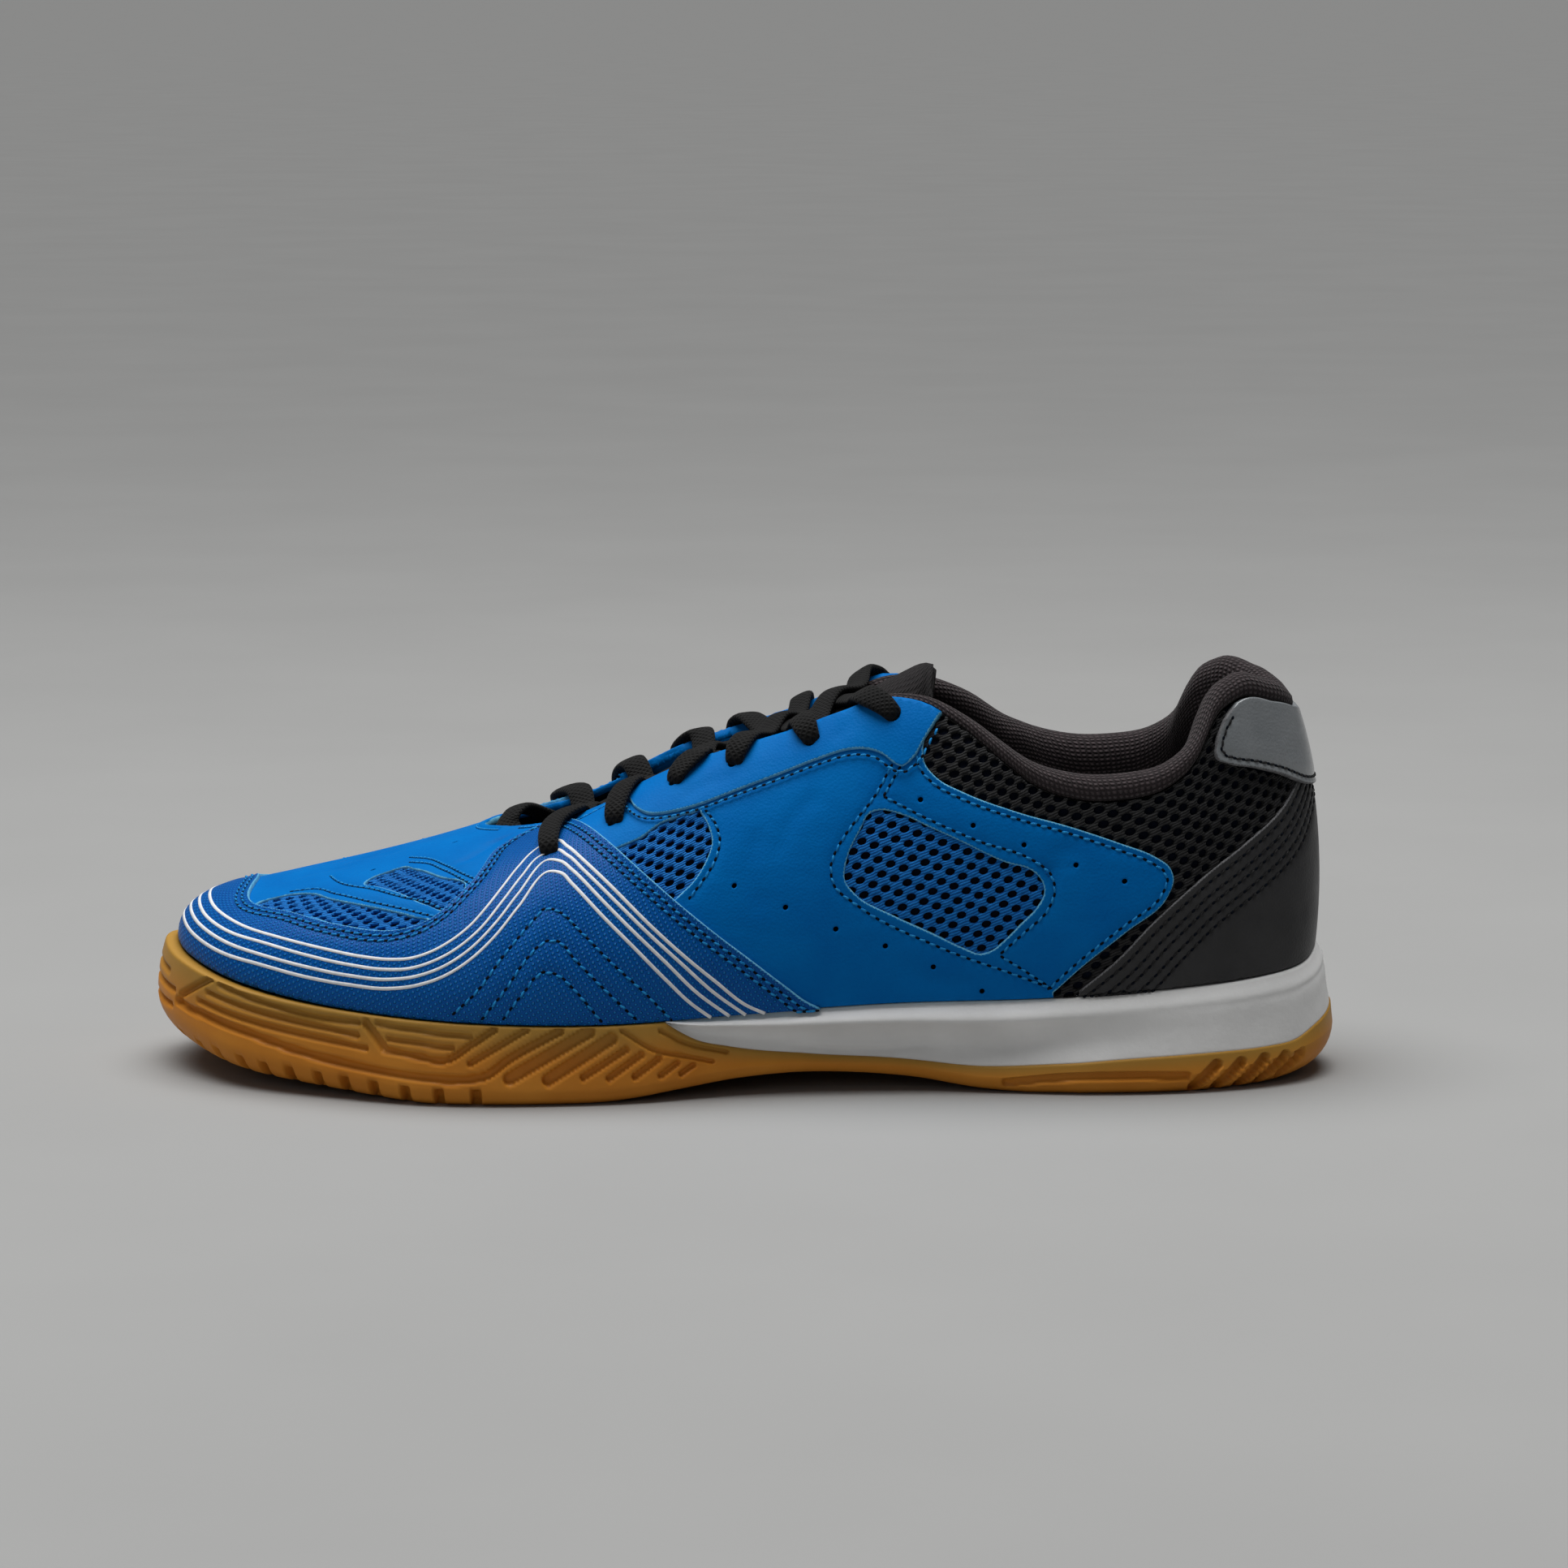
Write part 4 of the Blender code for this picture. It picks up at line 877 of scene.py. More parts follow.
def window_of(pixels, side):
    """A smooth flat loop through pixels of the photograph, on one side of the shoe."""
    return through(to_flat(side(on_upper(pixels))), EDGE_STEP, closed=True)


def around(count):
    """Angles of points set evenly round a ring."""
    return np.linspace(0, 2 * math.pi, count, endpoint=False)


def holes_at(pixels, side, radius):
    """Round flat loops about pixels of the photograph, on one side of the shoe."""
    angles = around(HOLE_POINTS)
    ring = radius * np.stack([np.cos(angles), np.sin(angles)], -1)
    return [spot + ring for spot in to_flat(side(on_upper(pixels)))]


def along_share(first, last, share, step=1.5):
    """Places along one share."""
    turns = np.linspace(first, last, max(2, int(abs(last - first) / step)))
    return np.stack([turns, np.full_like(turns, share)], -1)


def below_rim(turns, distance):
    """Places at a distance below the rim."""
    return np.stack([turns, share_below(turns, distance)], -1)


def round_toe(pixels, tip_height):
    """A line of the outer side, carried round the toe to the inner one, as stations and shares."""
    at = on_upper(pixels)
    return np.concatenate([at, [(180.0, share_at_height(180.0, tip_height))], mirrored(at)[::-1]])


def round_heel(pixels, back_height):
    """A line of the outer side, carried round the heel to the inner one."""
    at = on_upper(pixels)
    return np.concatenate([at, [(0.0, share_at_height(0.0, back_height))], opposite(at)[::-1]])


def foot_of(at):
    """The flat lower edge that closes a line of stations and shares."""
    return to_flat(along_share(at[-1, 0], at[0, 0], FOOT_SHARE))


def rim_of(at):
    """The flat upper edge that closes a line of stations and shares."""
    return to_flat(along_share(at[-1, 0], at[0, 0], 1.0, 1.0))


def loop_of(*lines):
    """One closed loop of lines end to end, with doubled places left out."""
    doubled = 0.12
    loop = np.concatenate(lines)
    return loop[np.linalg.norm(loop - np.roll(loop, 1, axis=0), axis=1) > doubled]


def relief(creases, sides, others=()):
    """Heights of creases on a panel, from their depths, widths and lines."""
    made = []
    for depth, width, line in creases:
        made += [(depth, width, line_of(line, side, CREASE_STEP)) for side in sides]
    made += others

    def height(flat):
        return -sum(depth * np.exp(-((nearest(flat, line) / width) ** 2)) for depth, width, line in made)

    return height


def add_mesh(name, points, faces, finishes, slot, node=None, finish_of=None, uv=None):
    """A smooth closed mesh that rides on the shoe, its faces turned outwards, in place of a node."""
    mesh = bpy.data.meshes.new(name)
    mesh.from_pydata((np.asarray(points) * MM).tolist(), [], faces)
    for finish in finishes:
        mesh.materials.append(finish)
    if finish_of is not None:
        mesh.polygons.foreach_set("material_index", np.asarray(finish_of, np.int32))
    if uv is not None:
        layer = mesh.uv_layers.new(name="flat")
        corners = np.empty(len(mesh.loops), np.int32)
        mesh.loops.foreach_get("vertex_index", corners)
        layer.data.foreach_set("uv", (np.asarray(uv)[corners] * MM).astype(np.float32).ravel())
    mesh.shade_smooth()
    probe = bmesh.new()
    probe.from_mesh(mesh)
    if probe.calc_volume(signed=True) < 0:
        mesh.flip_normals()
    probe.free()
    made = bpy.data.objects.new(name, mesh)
    bpy.context.scene.collection.objects.link(made)
    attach(made, "root")
    if node:
        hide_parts(node)
    return made


def grid_faces(rows, size, close_rows=False, close_size=False, start=0):
    """Quads of a grid of points given row by row."""
    i = np.arange(rows if close_rows else rows - 1)[:, None]
    j = np.arange(size if close_size else size - 1)[None]
    here, there = i * size, (i + 1) % rows * size
    right = (j + 1) % size
    quads = np.stack([here + j, here + right, there + right, there + j], -1)
    return (quads.reshape(-1, 4) + start).tolist()


def repeated(faces, count, size, start=0):
    """The same faces for each of several blocks of points."""
    first = start + np.arange(count) * size
    return (np.array(faces) + first[:, None, None]).reshape(-1, len(faces[0])).tolist()


def tubes(name, parts, finishes, uvs=None, **ties):
    """Pieces in one mesh, each swept through closed sections of equal size and capped."""
    faces, start = [], 0
    for part in parts:
        rows, size = part.shape[:2]
        last = start + (rows - 1) * size
        faces += grid_faces(rows, size, close_size=True, start=start)
        faces += [list(range(start, start + size))[::-1], list(range(last, last + size))]
        start += rows * size
    points = np.concatenate([part.reshape(-1, 3) for part in parts])
    return add_mesh(name, points, faces, finishes, uv=None if uvs is None else np.concatenate(uvs), **ties)


def hoop(name, sections, finishes, uv=None, **ties):
    """A piece swept through closed sections all the way round the shoe."""
    faces = grid_faces(*sections.shape[:2], close_rows=True, close_size=True)
    return add_mesh(name, sections.reshape(-1, 3), faces, finishes, uv=uv, **ties)


def sides_of(faces):
    """Sides of faces, each from a corner to the next."""
    return np.stack([faces, np.roll(faces, -1, axis=1)], -1).reshape(-1, 2)


def open_sides(faces, count):
    """Which sides of faces no other face shares."""
    sides = sides_of(faces)
    return ~np.isin(sides @ (count, 1), sides @ (1, count))


def panel_points(loops, rim, rows):
    """Flat points inside a panel: rings along its edges, lines along its seams, then a lattice."""
    extra = []
    for loop in loops:
        closed = np.concatenate([loop[-1:], loop, loop[:1]])
        for depth in CUT_RINGS:
            ring = aside(closed, depth)[1:-1]
            extra.append(ring[nearest(ring, rim) > RING_CLEARANCE * depth])
    for row in rows:
        line = through(row, EDGE_STEP)
        for out in DIP_LINES:
            beside = aside(line, out)
            extra.append(beside[nearest(beside, rim) > DIP_CLEARANCE])
    low, high = loops[0].min(axis=0), loops[0].max(axis=0)
    lattice = []
    for number, y in enumerate(np.arange(low[1], high[1], LATTICE_STEP * LATTICE_ROW)):
        x = np.arange(low[0] + number % 2 * LATTICE_STEP / 2, high[0], LATTICE_STEP)
        lattice.append(np.stack([x, np.full_like(x, y)], -1))
    extra, lattice = np.concatenate(extra), np.concatenate(lattice)
    apart = nearest(lattice, np.concatenate([rim, extra])) > LATTICE_CLEARANCE * LATTICE_STEP
    points = np.concatenate([extra, lattice[apart]])
    return points[between(points, loops)]


def triangles(loops, rim, points):
    """Points and triangles of a flat piece between its loops, all turned the same way."""
    borders = []
    for loop in loops:
        start = len(borders)
        borders += [(start + k, start + (k + 1) % len(loop)) for k in range(len(loop))]
    made = delaunay_2d_cdt([Vector(p) for p in np.concatenate([rim, points])], borders, [], 0, MERGE)
    flat, corners = np.array([tuple(p) for p in made[0]]), np.array(made[2])
    area = cross(*(flat[corners[:, k]] - flat[corners[:, 0]] for k in (1, 2)))
    kept = between(flat[corners].mean(axis=1), loops) & (np.abs(area) > SLIVER)
    return flat, np.where((area > 0)[:, None], corners[:, ::-1], corners)[kept]


def panel(name, loops, bottom, top, finishes, rows, bumps=None, **ties):
    """A leather piece: its flat edge and holes laid on the shoe, with rounded cuts and sunk seams.

    The finishes are those of its face, of its raw edge, which also paints a highlight band on the face along
    the cut, and of small holes, whose walls are painted near-black as shade.
    """
    loops = [turned_to(loops[0], 1)] + [turned_to(hole, -1) for hole in loops[1:]]
    rim = np.concatenate(loops)
    flat, corners = triangles(loops, rim, panel_points(loops, rim, rows))
    depth = np.clip(1 - nearest(flat, rim) / EDGE_ROUND, 0, 1)
    level = top - EDGE_DROP * (1 - np.sqrt(1 - depth**2))
    gap = nearest(flat, np.concatenate([through(row, FINE_STEP) for row in rows]))
    level = level - STITCH_DIP * np.exp(-((gap / DIP_WIDTH) ** 2)) * (1 - depth)
    if bumps:
        level = level + bumps(flat) * (1 - depth)
    sizes = [len(loop) for loop in loops]
    # Small holes' walls take the near-black finish, painted shade inside the holes
    edge_finish = np.repeat([1 if size > SMALL_HOLE_POINTS else 2 for size in sizes], sizes)
    turn, share = from_flat(rim)
    edge_finish[(share > FOLDED_SHARE) & (folded(turn) < THROAT_END)] = 0
    # Faces close to the cut take the raw edge colour: partly the real raw edge, partly a painted highlight
    # along it
    cut_and_highlight_band = nearest(flat[corners].mean(axis=1), rim[edge_finish == 1]) < CUT_AND_HIGHLIGHT_WIDTH
    count = len(flat)
    here, there = sides_of(corners)[open_sides(corners, count)].T
    walls = np.stack([there, here, here + count, there + count], -1)
    wall_finish = edge_finish[found_in(tree_of(rim), flat[here])[0]]
    return add_mesh(
        name,
        np.concatenate([placed(flat, level), placed(flat, bottom)]),
        corners.tolist() + (corners[:, ::-1] + count).tolist() + walls.tolist(),
        finishes,
        finish_of=np.concatenate([cut_and_highlight_band, 0 * cut_and_highlight_band, wall_finish]),
        uv=np.concatenate([flat, flat]),
        **ties,
    )


def needle_hole_shades(spot, normal):
    """Flat near-black lenses along a seam, painted shade for the needle holes and where the thread dives: a
    ring of points for each, then its two crowns.
    """
    lead = unit(np.gradient(spot, axis=0))
    side = np.cross(lead, normal)
    long, wide = HOLE_HALVES
    ring = [spot + long * math.cos(a) * lead + wide * math.sin(a) * side for a in around(THREAD_SIDES)]
    return np.stack([*ring, spot + HOLE_CROWN * normal, spot - HOLE_CROWN * normal], 1)


def thread_rings(start, end, up):
    """Rings of points along threads, from their starts to their ends."""
    lead = end - start
    side = unit(np.cross(lead, up))
    wide, tall = THREAD_HALVES
    rings = []
    for share, scale, lift in THREAD_PROFILE:
        centre = start + share * lead + lift * up
        for a in around(THREAD_SIDES):
            rings.append(centre + scale * (wide * math.cos(a) * side + tall * math.sin(a) * up))
    return np.stack(rings, 1)


def stitches(name, rows, finishes, pitch=STITCH_PITCH, **ties):
    """Sewn rows: each is a flat line and its level. Threads lie between needle holes painted as shade."""
    starts, ends, ups, holes = [], [], [], []
    for line, level in rows:
        nodes = through(line, count=max(2, round(length_of(line)[-1] / pitch)))
        step = np.diff(nodes, axis=0)
        square = np.stack([-step[:, 1], step[:, 0]], -1) * THREAD_SLANT
        starts.append(placed(nodes[:-1] + THREAD_TUCK * step + square, level - THREAD_SINK))
        ends.append(placed(nodes[1:] - THREAD_TUCK * step - square, level - THREAD_SINK))
        normal = upper_normal(*from_flat(nodes))
        ups.append(normal[:-1])
        holes.append(needle_hole_shades(placed(nodes, level - HOLE_SINK), normal))
    threads = thread_rings(*(np.concatenate(part) for part in (starts, ends, ups)))
    holes = np.concatenate(holes)
    count, size = threads.shape[:2]
    body = grid_faces(len(THREAD_PROFILE), THREAD_SIDES, close_size=True)
    caps = [range(THREAD_SIDES)[::-1], range(size - THREAD_SIDES, size)]
    k = np.arange(THREAD_SIDES)
    after, crown = (k + 1) % THREAD_SIDES, np.full_like(k, THREAD_SIDES)
    lens = np.concatenate([np.stack([k, after, crown], -1), np.stack([after, k, crown + 1], -1)])
    sewn = repeated(body, count, size) + repeated(caps, count, size)
    punched = repeated(lens, *holes.shape[:2], start=count * size)
    finish_of = [0] * len(sewn) + [1] * len(punched)
    points = np.concatenate([threads.reshape(-1, 3), holes.reshape(-1, 3)])
    return add_mesh(name, points, sewn + punched, finishes, finish_of=finish_of, **ties)


def net_rings(half_sizes):
    """Flat rings of one mesh cell: its border, the yarn's crown, the hole, and back underneath."""
    square = np.array([(1, 0.5), (0, math.sqrt(0.75))])
    stretch = NET_STEPS.T @ np.linalg.inv(square)
    angles = around(NET_CORNERS)
    reach = np.where(np.arange(NET_CORNERS) % 2, 1 / math.sqrt(3), 0.5)
    cell = (stretch @ np.stack([reach * np.cos(angles), reach * np.sin(angles)])).T
    bearing = np.arctan2(cell[:, 1], cell[:, 0])
    tilted = bearing - math.radians(NET_TILT)
    long, tall = half_sizes
    hole = 1 / np.sqrt((np.cos(tilted) / long) ** 2 + (np.sin(tilted) / tall) ** 2)
    hole = hole[:, None] * np.stack([np.cos(bearing), np.sin(bearing)], -1)
    return [cell, cell + NET_CROWN * (hole - cell), hole, NET_TAPER * hole, cell]


def net_centres(region):
    """Centres of the mesh cells in a flat region and a little past its edge."""
    count = int(np.ptp(region, axis=0).max() / 2) + 2
    i, j = np.meshgrid(np.arange(-count, count + 1), np.arange(-count, count + 1))
    spots = region.mean(axis=0) + np.stack([i.ravel(), j.ravel()], -1) @ NET_STEPS
    close = nearest(spots, through(region, SEAM_STEP, closed=True)) < NET_MARGIN
    return spots[inside(spots, region) | close]


def net(name, regions, finish, half_sizes, **ties):
    """Knitted mesh with oval holes over flat regions, its cells welded to each other."""
    rings = net_rings(half_sizes)
    centres = np.concatenate([net_centres(region) for region in regions])
    flat = np.stack([centres[:, None] + ring for ring in rings], 1)
    level = np.broadcast_to(np.array(NET_LEVELS)[None, :, None], flat.shape[:3]).ravel()
    flat = flat.reshape(-1, 2)
    size = len(rings) * NET_CORNERS
    faces = np.array(repeated(grid_faces(len(rings), NET_CORNERS, close_size=True), len(centres), size))
    spots = np.round(np.column_stack([flat, level]) / NET_WELD).astype(int)
    first, joined = np.unique(spots, axis=0, return_index=True, return_inverse=True)[1:]
    joined = joined.ravel()
    sides = sides_of(faces)
    at_border = (sides % size < NET_CORNERS).all(axis=1)
    here, there = sides[open_sides(joined[faces], len(first)) & at_border].T
    to_low = size - NET_CORNERS
    walls = np.stack([there, here, here + to_low, there + to_low], -1)
    faces = joined[np.concatenate([faces, walls])].tolist()
    return add_mesh(name, placed(flat[first], level[first]), faces, [finish], uv=flat[first], **ties)


# Materials: where the two tones end in the noise, spread and grain of the roughness, and the sockets
# that a mix node has for colours
TONE_ENDS = (0.3, 0.72)
ROUGHNESS_SPREAD = 0.08
ROUGHNESS_GRAIN = 3.3
COAT_ROUGHNESS = 0.25
MIX_FIRST, MIX_SECOND, MIX_RESULT = 6, 7, 2


def linear(red, green, blue):
    """A screen colour as light."""
    part = np.array([red, green, blue]) / 255
    part = np.where(part <= 0.04045, part / 12.92, ((part + 0.055) / 1.055) ** 2.4)
    return (*(float(x) for x in part), 1.0)


class Finish:
    """A procedural material: tones from noise, then layers of relief."""

    def __init__(self, name, tones, roughness, coat=0.0, sheen=0.0, patch=90.0, specular=0.1):
        self.made = bpy.data.materials.new(name)
        self.made.use_nodes = True
        self.tree = self.made.node_tree
        self.shader = self.tree.nodes["Principled BSDF"]
        self.place = self.node("TexCoord", {}).outputs
        ramp = self.node("ValToRGB", {"Fac": self.noise(patch, 4)})
        for element, at, tone in zip(ramp.color_ramp.elements, TONE_ENDS, tones):
            element.position = at
            element.color = linear(*tone)
        self.tone = ramp.outputs["Color"]
        grain = self.noise(ROUGHNESS_GRAIN * patch, 3)
        low, high = roughness - ROUGHNESS_SPREAD, roughness + ROUGHNESS_SPREAD
        spread = self.node("MapRange", {"Value": grain, "To Min": low, "To Max": high})
        looks = {"Base Color": self.tone, "Roughness": spread.outputs["Result"], "Sheen Weight": sheen}
        coats = {"Coat Weight": coat, "Coat Roughness": COAT_ROUGHNESS, "Specular IOR Level": specular}
        self.feed(self.shader, looks | coats)
        self.normal = None

    def node(self, kind, inputs, **settings):
        """A new node with its settings and inputs."""
        made = self.tree.nodes.new("ShaderNode" + kind)
        for name, value in settings.items():
            setattr(made, name, value)
        self.feed(made, inputs)
        return made

    def feed(self, node, inputs):
        """A node's inputs set to values, or linked to outputs of other nodes."""
        for name, value in inputs.items():
            if isinstance(value, bpy.types.NodeSocket):
                self.tree.links.new(value, node.inputs[name])
            else:
                node.inputs[name].default_value = value

    def coordinates(self, flat, turn, stretch=(1, 1, 1)):
        """Places in metres: on the rolled-out piece if flat, else in space."""
        place = self.place["UV" if flat else "Object"]
        turned = (0, 0, math.radians(turn))
        return self.node("Mapping", {"Rotation": turned, "Scale": stretch, "Vector": place}).outputs["Vector"]

    def noise(self, scale, detail):
        """Cloudy noise in space."""
        inputs = {"Scale": scale, "Detail": detail, "Vector": self.place["Object"]}
        return self.node("TexNoise", inputs).outputs["Fac"]

    def cells(self, scale, flat=False, turn=0.0, randomness=1.0):
        """How far places are from the middles of cells."""
        inputs = {"Scale": scale, "Randomness": randomness, "Vector": self.coordinates(flat, turn)}
        return self.node("TexVoronoi", inputs).outputs["Distance"]

    def bands(self, period, turn, wobble=0.0, stretch=(1, 1, 1), flat=True):
        """Waves with a period in millimetres."""
        at = self.coordinates(flat, turn, stretch)
        inputs = {"Scale": math.pi / 10 / (period * MM), "Distortion": wobble, "Vector": at}
        return self.node("TexWave", inputs).outputs["Fac"]

    def climb(self):
        """The second flat coordinate by itself."""
        return self.node("SeparateXYZ", {"Vector": self.place["UV"]}).outputs["Y"]

    def span(self, value, low, high, to_low, to_high):
        """A value spread between limits, smoothly."""
        inputs = {"Value": value, "From Min": low, "From Max": high, "To Min": to_low, "To Max": to_high}
        return self.node("MapRange", inputs, interpolation_type="SMOOTHSTEP").outputs["Result"]

    def both(self, one, two, operation):
        """Two values joined into one."""
        return self.node("Math", {0: one, 1: two}, operation=operation).outputs["Value"]

    def bump(self, height, millimetres, strength):
        """Relief from a height, over the relief so far."""
        inputs = {"Distance": millimetres * MM, "Strength": strength, "Height": height}
        if self.normal is not None:
            inputs["Normal"] = self.normal
        self.normal = self.node("Bump", inputs).outputs["Normal"]
        self.feed(self.shader, {"Normal": self.normal})

    def shade(self, factor, tone):
        """Another tone where the factor is high."""
        inputs = {"Factor": factor, MIX_FIRST: self.tone, MIX_SECOND: linear(*tone)}
        self.tone = self.node("Mix", inputs, data_type="RGBA").outputs[MIX_RESULT]
        self.feed(self.shader, {"Base Color": self.tone})

    def grained(self, *layers):
        """The material, with relief from noise: scale, detail, millimetres and strength of each layer."""
        for scale, detail, millimetres, strength in layers:
            self.bump(self.noise(scale, detail), millimetres, strength)
        return self.made


def plain(name, tones, roughness, *layers, **looks):
    """A material with no relief but noise."""
    return Finish(name, tones, roughness, **looks).grained(*layers)


def leather(name, tones, roughness, coat=0.0, specular=0.1):
    """Synthetic leather with fine pebbled grain and faint wrinkles."""
    made = Finish(name, tones, roughness, coat, specular=specular)
    made.grained((60, 2, 1.2, 0.25))
    made.bump(made.bands(5.5, 70.0, 9.0, (0.5, 1, 1)), 0.1, 0.2)
    made.bump(made.cells(1500), 0.08, 0.7)
    made.grained((3000, 3, 0.05, 0.5))
    return made


def embossed(name, tones):
    """Leather with small raised dots in rows, their tops painted lighter as a highlight."""
    made = leather(name, tones, 0.38)
    dots = made.span(made.cells(1000 / DOT_PITCH, True, 33.0, 0.0), 0.14, 0.36, 1, 0)
    made.bump(dots, 0.42, 1.0)
    # Painted highlight: a lighter blue on the dots' tops.
    made.shade(made.span(dots, 0.3, 1.0, 0.0, 0.75), (24, 128, 204))
    return made.made


def glossy(name, tones):
    """Leather under a clear coat, with faint lines."""
    made = leather(name, tones, 0.22, 1.0)
    made.bump(made.bands(1.3, 72.0, 0.6), 0.03, 0.3)
    return made.made


def cut_edge_and_highlight_finish(name, tones):
    """The fibres of cut leather, light enough to also stand as a painted highlight along the cut."""
    return plain(name, tones, 0.8, (2500, 3, 0.15, 0.8), patch=900)


def netting(name, tones, strand_gap_shade):
    """Yarn of the mesh, with painted shade between its strands."""
    made = Finish(name, tones, 0.7, sheen=0.04, patch=700)
    strands = made.bands(0.66, -70.0, 2.5)
    made.bump(strands, 0.2, 0.8)
    # Painted shade: a darker tone in the gaps between the strands.
    made.shade(made.span(strands, 0.1, 0.65, 0.75, 0), strand_gap_shade)
    return made.grained((2600, 4, 0.12, 0.7))


def woven(made, bands, operation, relief_size, grain, gaps=None):
    """Two sets of bands crossed on a material, and painted shade in the gaps between them where a tone is
    given.
    """
    weave = made.both(*(made.bands(*band) for band in bands), operation)
    made.bump(weave, *relief_size)
    # The gaps' tone is painted shade in the weave's hollows.
    if gaps:
        low, high, tone = gaps
        made.shade(made.span(weave, low, high, 0.7, 0), tone)
    return made.grained(grain)


def sewing_thread(name, tones, roughness):
    """Twisted thread."""
    made = Finish(name, tones, roughness, patch=1200)
    made.bump(made.bands(0.3, 40.0, flat=False), 0.08, 0.7)
    return made.made


def gum(name, tones):
    """Gum rubber that turns greener towards its upper edge."""
    made = Finish(name, tones, 0.46, coat=0.06, patch=50)
    rise = made.span(made.climb(), 0.45 * GUM_SHARE_SIZE * MM, GUM_SHARE_SIZE * MM, 0, 0.75)
    made.shade(rise, (160, 130, 62))
    return made.grained((700, 4, 0.1, 0.4), (3000, 3, 0.04, 0.5))


BLUE = leather("blue_leather_grain", [(0, 99, 174), (0, 107, 182)], 0.5, specular=0.03).made
GUARD = embossed("blue_embossed", [(0, 78, 155), (0, 84, 161)])
BLACK = leather("black_leather_grain", [(50, 50, 51), (58, 58, 59)], 0.42, 0.1).made
GREY = glossy("grey_gloss", [(122, 127, 130), (138, 142, 145)])
# Raw edge tones, lightened so that the band along each cut is also a painted highlight
RAW_EDGE_AND_HIGHLIGHT = cut_edge_and_highlight_finish("blue_cut_edge_and_highlight", [(70, 148, 192), (114, 182, 210)])
BLACK_PIECE_EDGE_AND_HIGHLIGHT = cut_edge_and_highlight_finish("black_cut_edge_and_highlight", [(84, 84, 86), (120, 120, 122)])
# Painted shade, for needle holes and the walls of small holes
HOLE_SHADE = plain("punched_hole_shade", [(4, 10, 20), (10, 18, 30)], 0.85, (2500, 3, 0.1, 0.8), patch=900)
# The third tone of each mesh is painted shade between its strands.
BLUE_NET = netting("blue_net", [(10, 106, 186), (26, 126, 208)], (2, 54, 120))
BLACK_NET = netting("black_net", [(36, 36, 37), (52, 52, 53)], (10, 10, 10))
LINING = plain("lining_knit", [(4, 9, 22), (9, 15, 32)], 0.9, (1800, 4, 0.3, 0.8), patch=500)
KNIT = woven(
    Finish("collar_knit", [(62, 54, 56), (80, 70, 72)], 0.88, sheen=0.1, patch=600),
    [(1.1, 90.0, 1.6), (1.25, 12.0, 2.2)],
    "MULTIPLY",
    (0.5, 1.0),
    (2400, 4, 0.2, 0.7),
    # Painted shade in the gaps between the knit's ribs
    (0.05, 0.6, (12, 10, 11)),
)
PAD = woven(
    Finish("tongue_knit", [(24, 22, 23), (34, 31, 32)], 0.85, sheen=0.06, patch=600),
    [(1.6, 45.0, 0.6), (1.6, -45.0, 0.6)],
    "MULTIPLY",
    (0.4, 0.9),
    (2400, 4, 0.2, 0.7),
)
CORD = woven(
    Finish("lace_weave", [(14, 14, 14), (24, 24, 24)], 0.72, sheen=0.05, patch=800),
    [(1.0, 38.0, 0.3), (1.0, -38.0, 0.3)],
    "MAXIMUM",
    (0.25, 0.9),
    (2600, 3, 0.12, 0.7),
    # Painted shade in the gaps of the lace's weave
    (0.3, 0.9, (4, 4, 4)),
)
THREAD = sewing_thread("thread_blue", [(12, 114, 186), (44, 150, 210)], 0.6)
BLACK_THREAD = sewing_thread("thread_black", [(30, 30, 31), (44, 44, 45)], 0.5)
PRINT = plain("white_print", [(214, 216, 218), (232, 233, 234)], 0.5, (2600, 3, 0.05, 0.6), patch=600)
FOAM = plain(
    "foam_skin", [(226, 226, 225), (238, 238, 237)], 0.6, (900, 4, 0.08, 0.5), (260, 5, 0.4, 0.45), patch=60
)
GUM = gum("gum_satin", [(196, 122, 40), (210, 138, 50)])
FELT = plain("sock_felt", [(58, 58, 61), (74, 74, 77)], 0.95, (2200, 4, 0.25, 0.8), sheen=0.3, patch=300)
FLOOR = plain("pale_floor", [(151, 151, 150), (154, 154, 153)], 0.85, (400, 2, 0.04, 0.2), patch=8)
BLUE_PANEL = [BLUE, RAW_EDGE_AND_HIGHLIGHT, HOLE_SHADE]


def add_toe_guard():
    """Toe guard with its eyelets and white lines. Gives its seams with their level."""
    at = round_toe(GUARD_EDGE, GUARD_TIP_HEIGHT)
    edge = line_at(at)
    rows, holes = [aside(edge, -gap) for gap in GUARD_SEAMS], []
    for side in (same, mirrored):
        rows += [line_of(row, side) for row in CHEVRONS]
        holes += holes_at(EYELETS[:1], side, EYELET)
    loops = [loop_of(edge, foot_of(at)), *holes]
    ties = {"node": "toe_guard", "slot": "blue_textured"}
    panel("toe_guard_skin", loops, BASE_BOTTOM, GUARD_TOP, [GUARD, RAW_EDGE_AND_HIGHLIGHT, HOLE_SHADE], rows, **ties)
    stripes = []
    for pixels, tip_height in zip(STRIPES, STRIPE_TIP_HEIGHTS):
        line = line_at(round_toe(pixels, tip_height), STRIPE_STEP)
        section = [placed(aside(line, STRIPE_WIDTH * out), GUARD_TOP + up) for out, up in RIBBON_SECTION]
        stripes.append(np.stack(section, 1))
    tubes("toe_stripes", stripes, [PRINT], slot="white_foam")
    return [(row, GUARD_TOP) for row in rows]


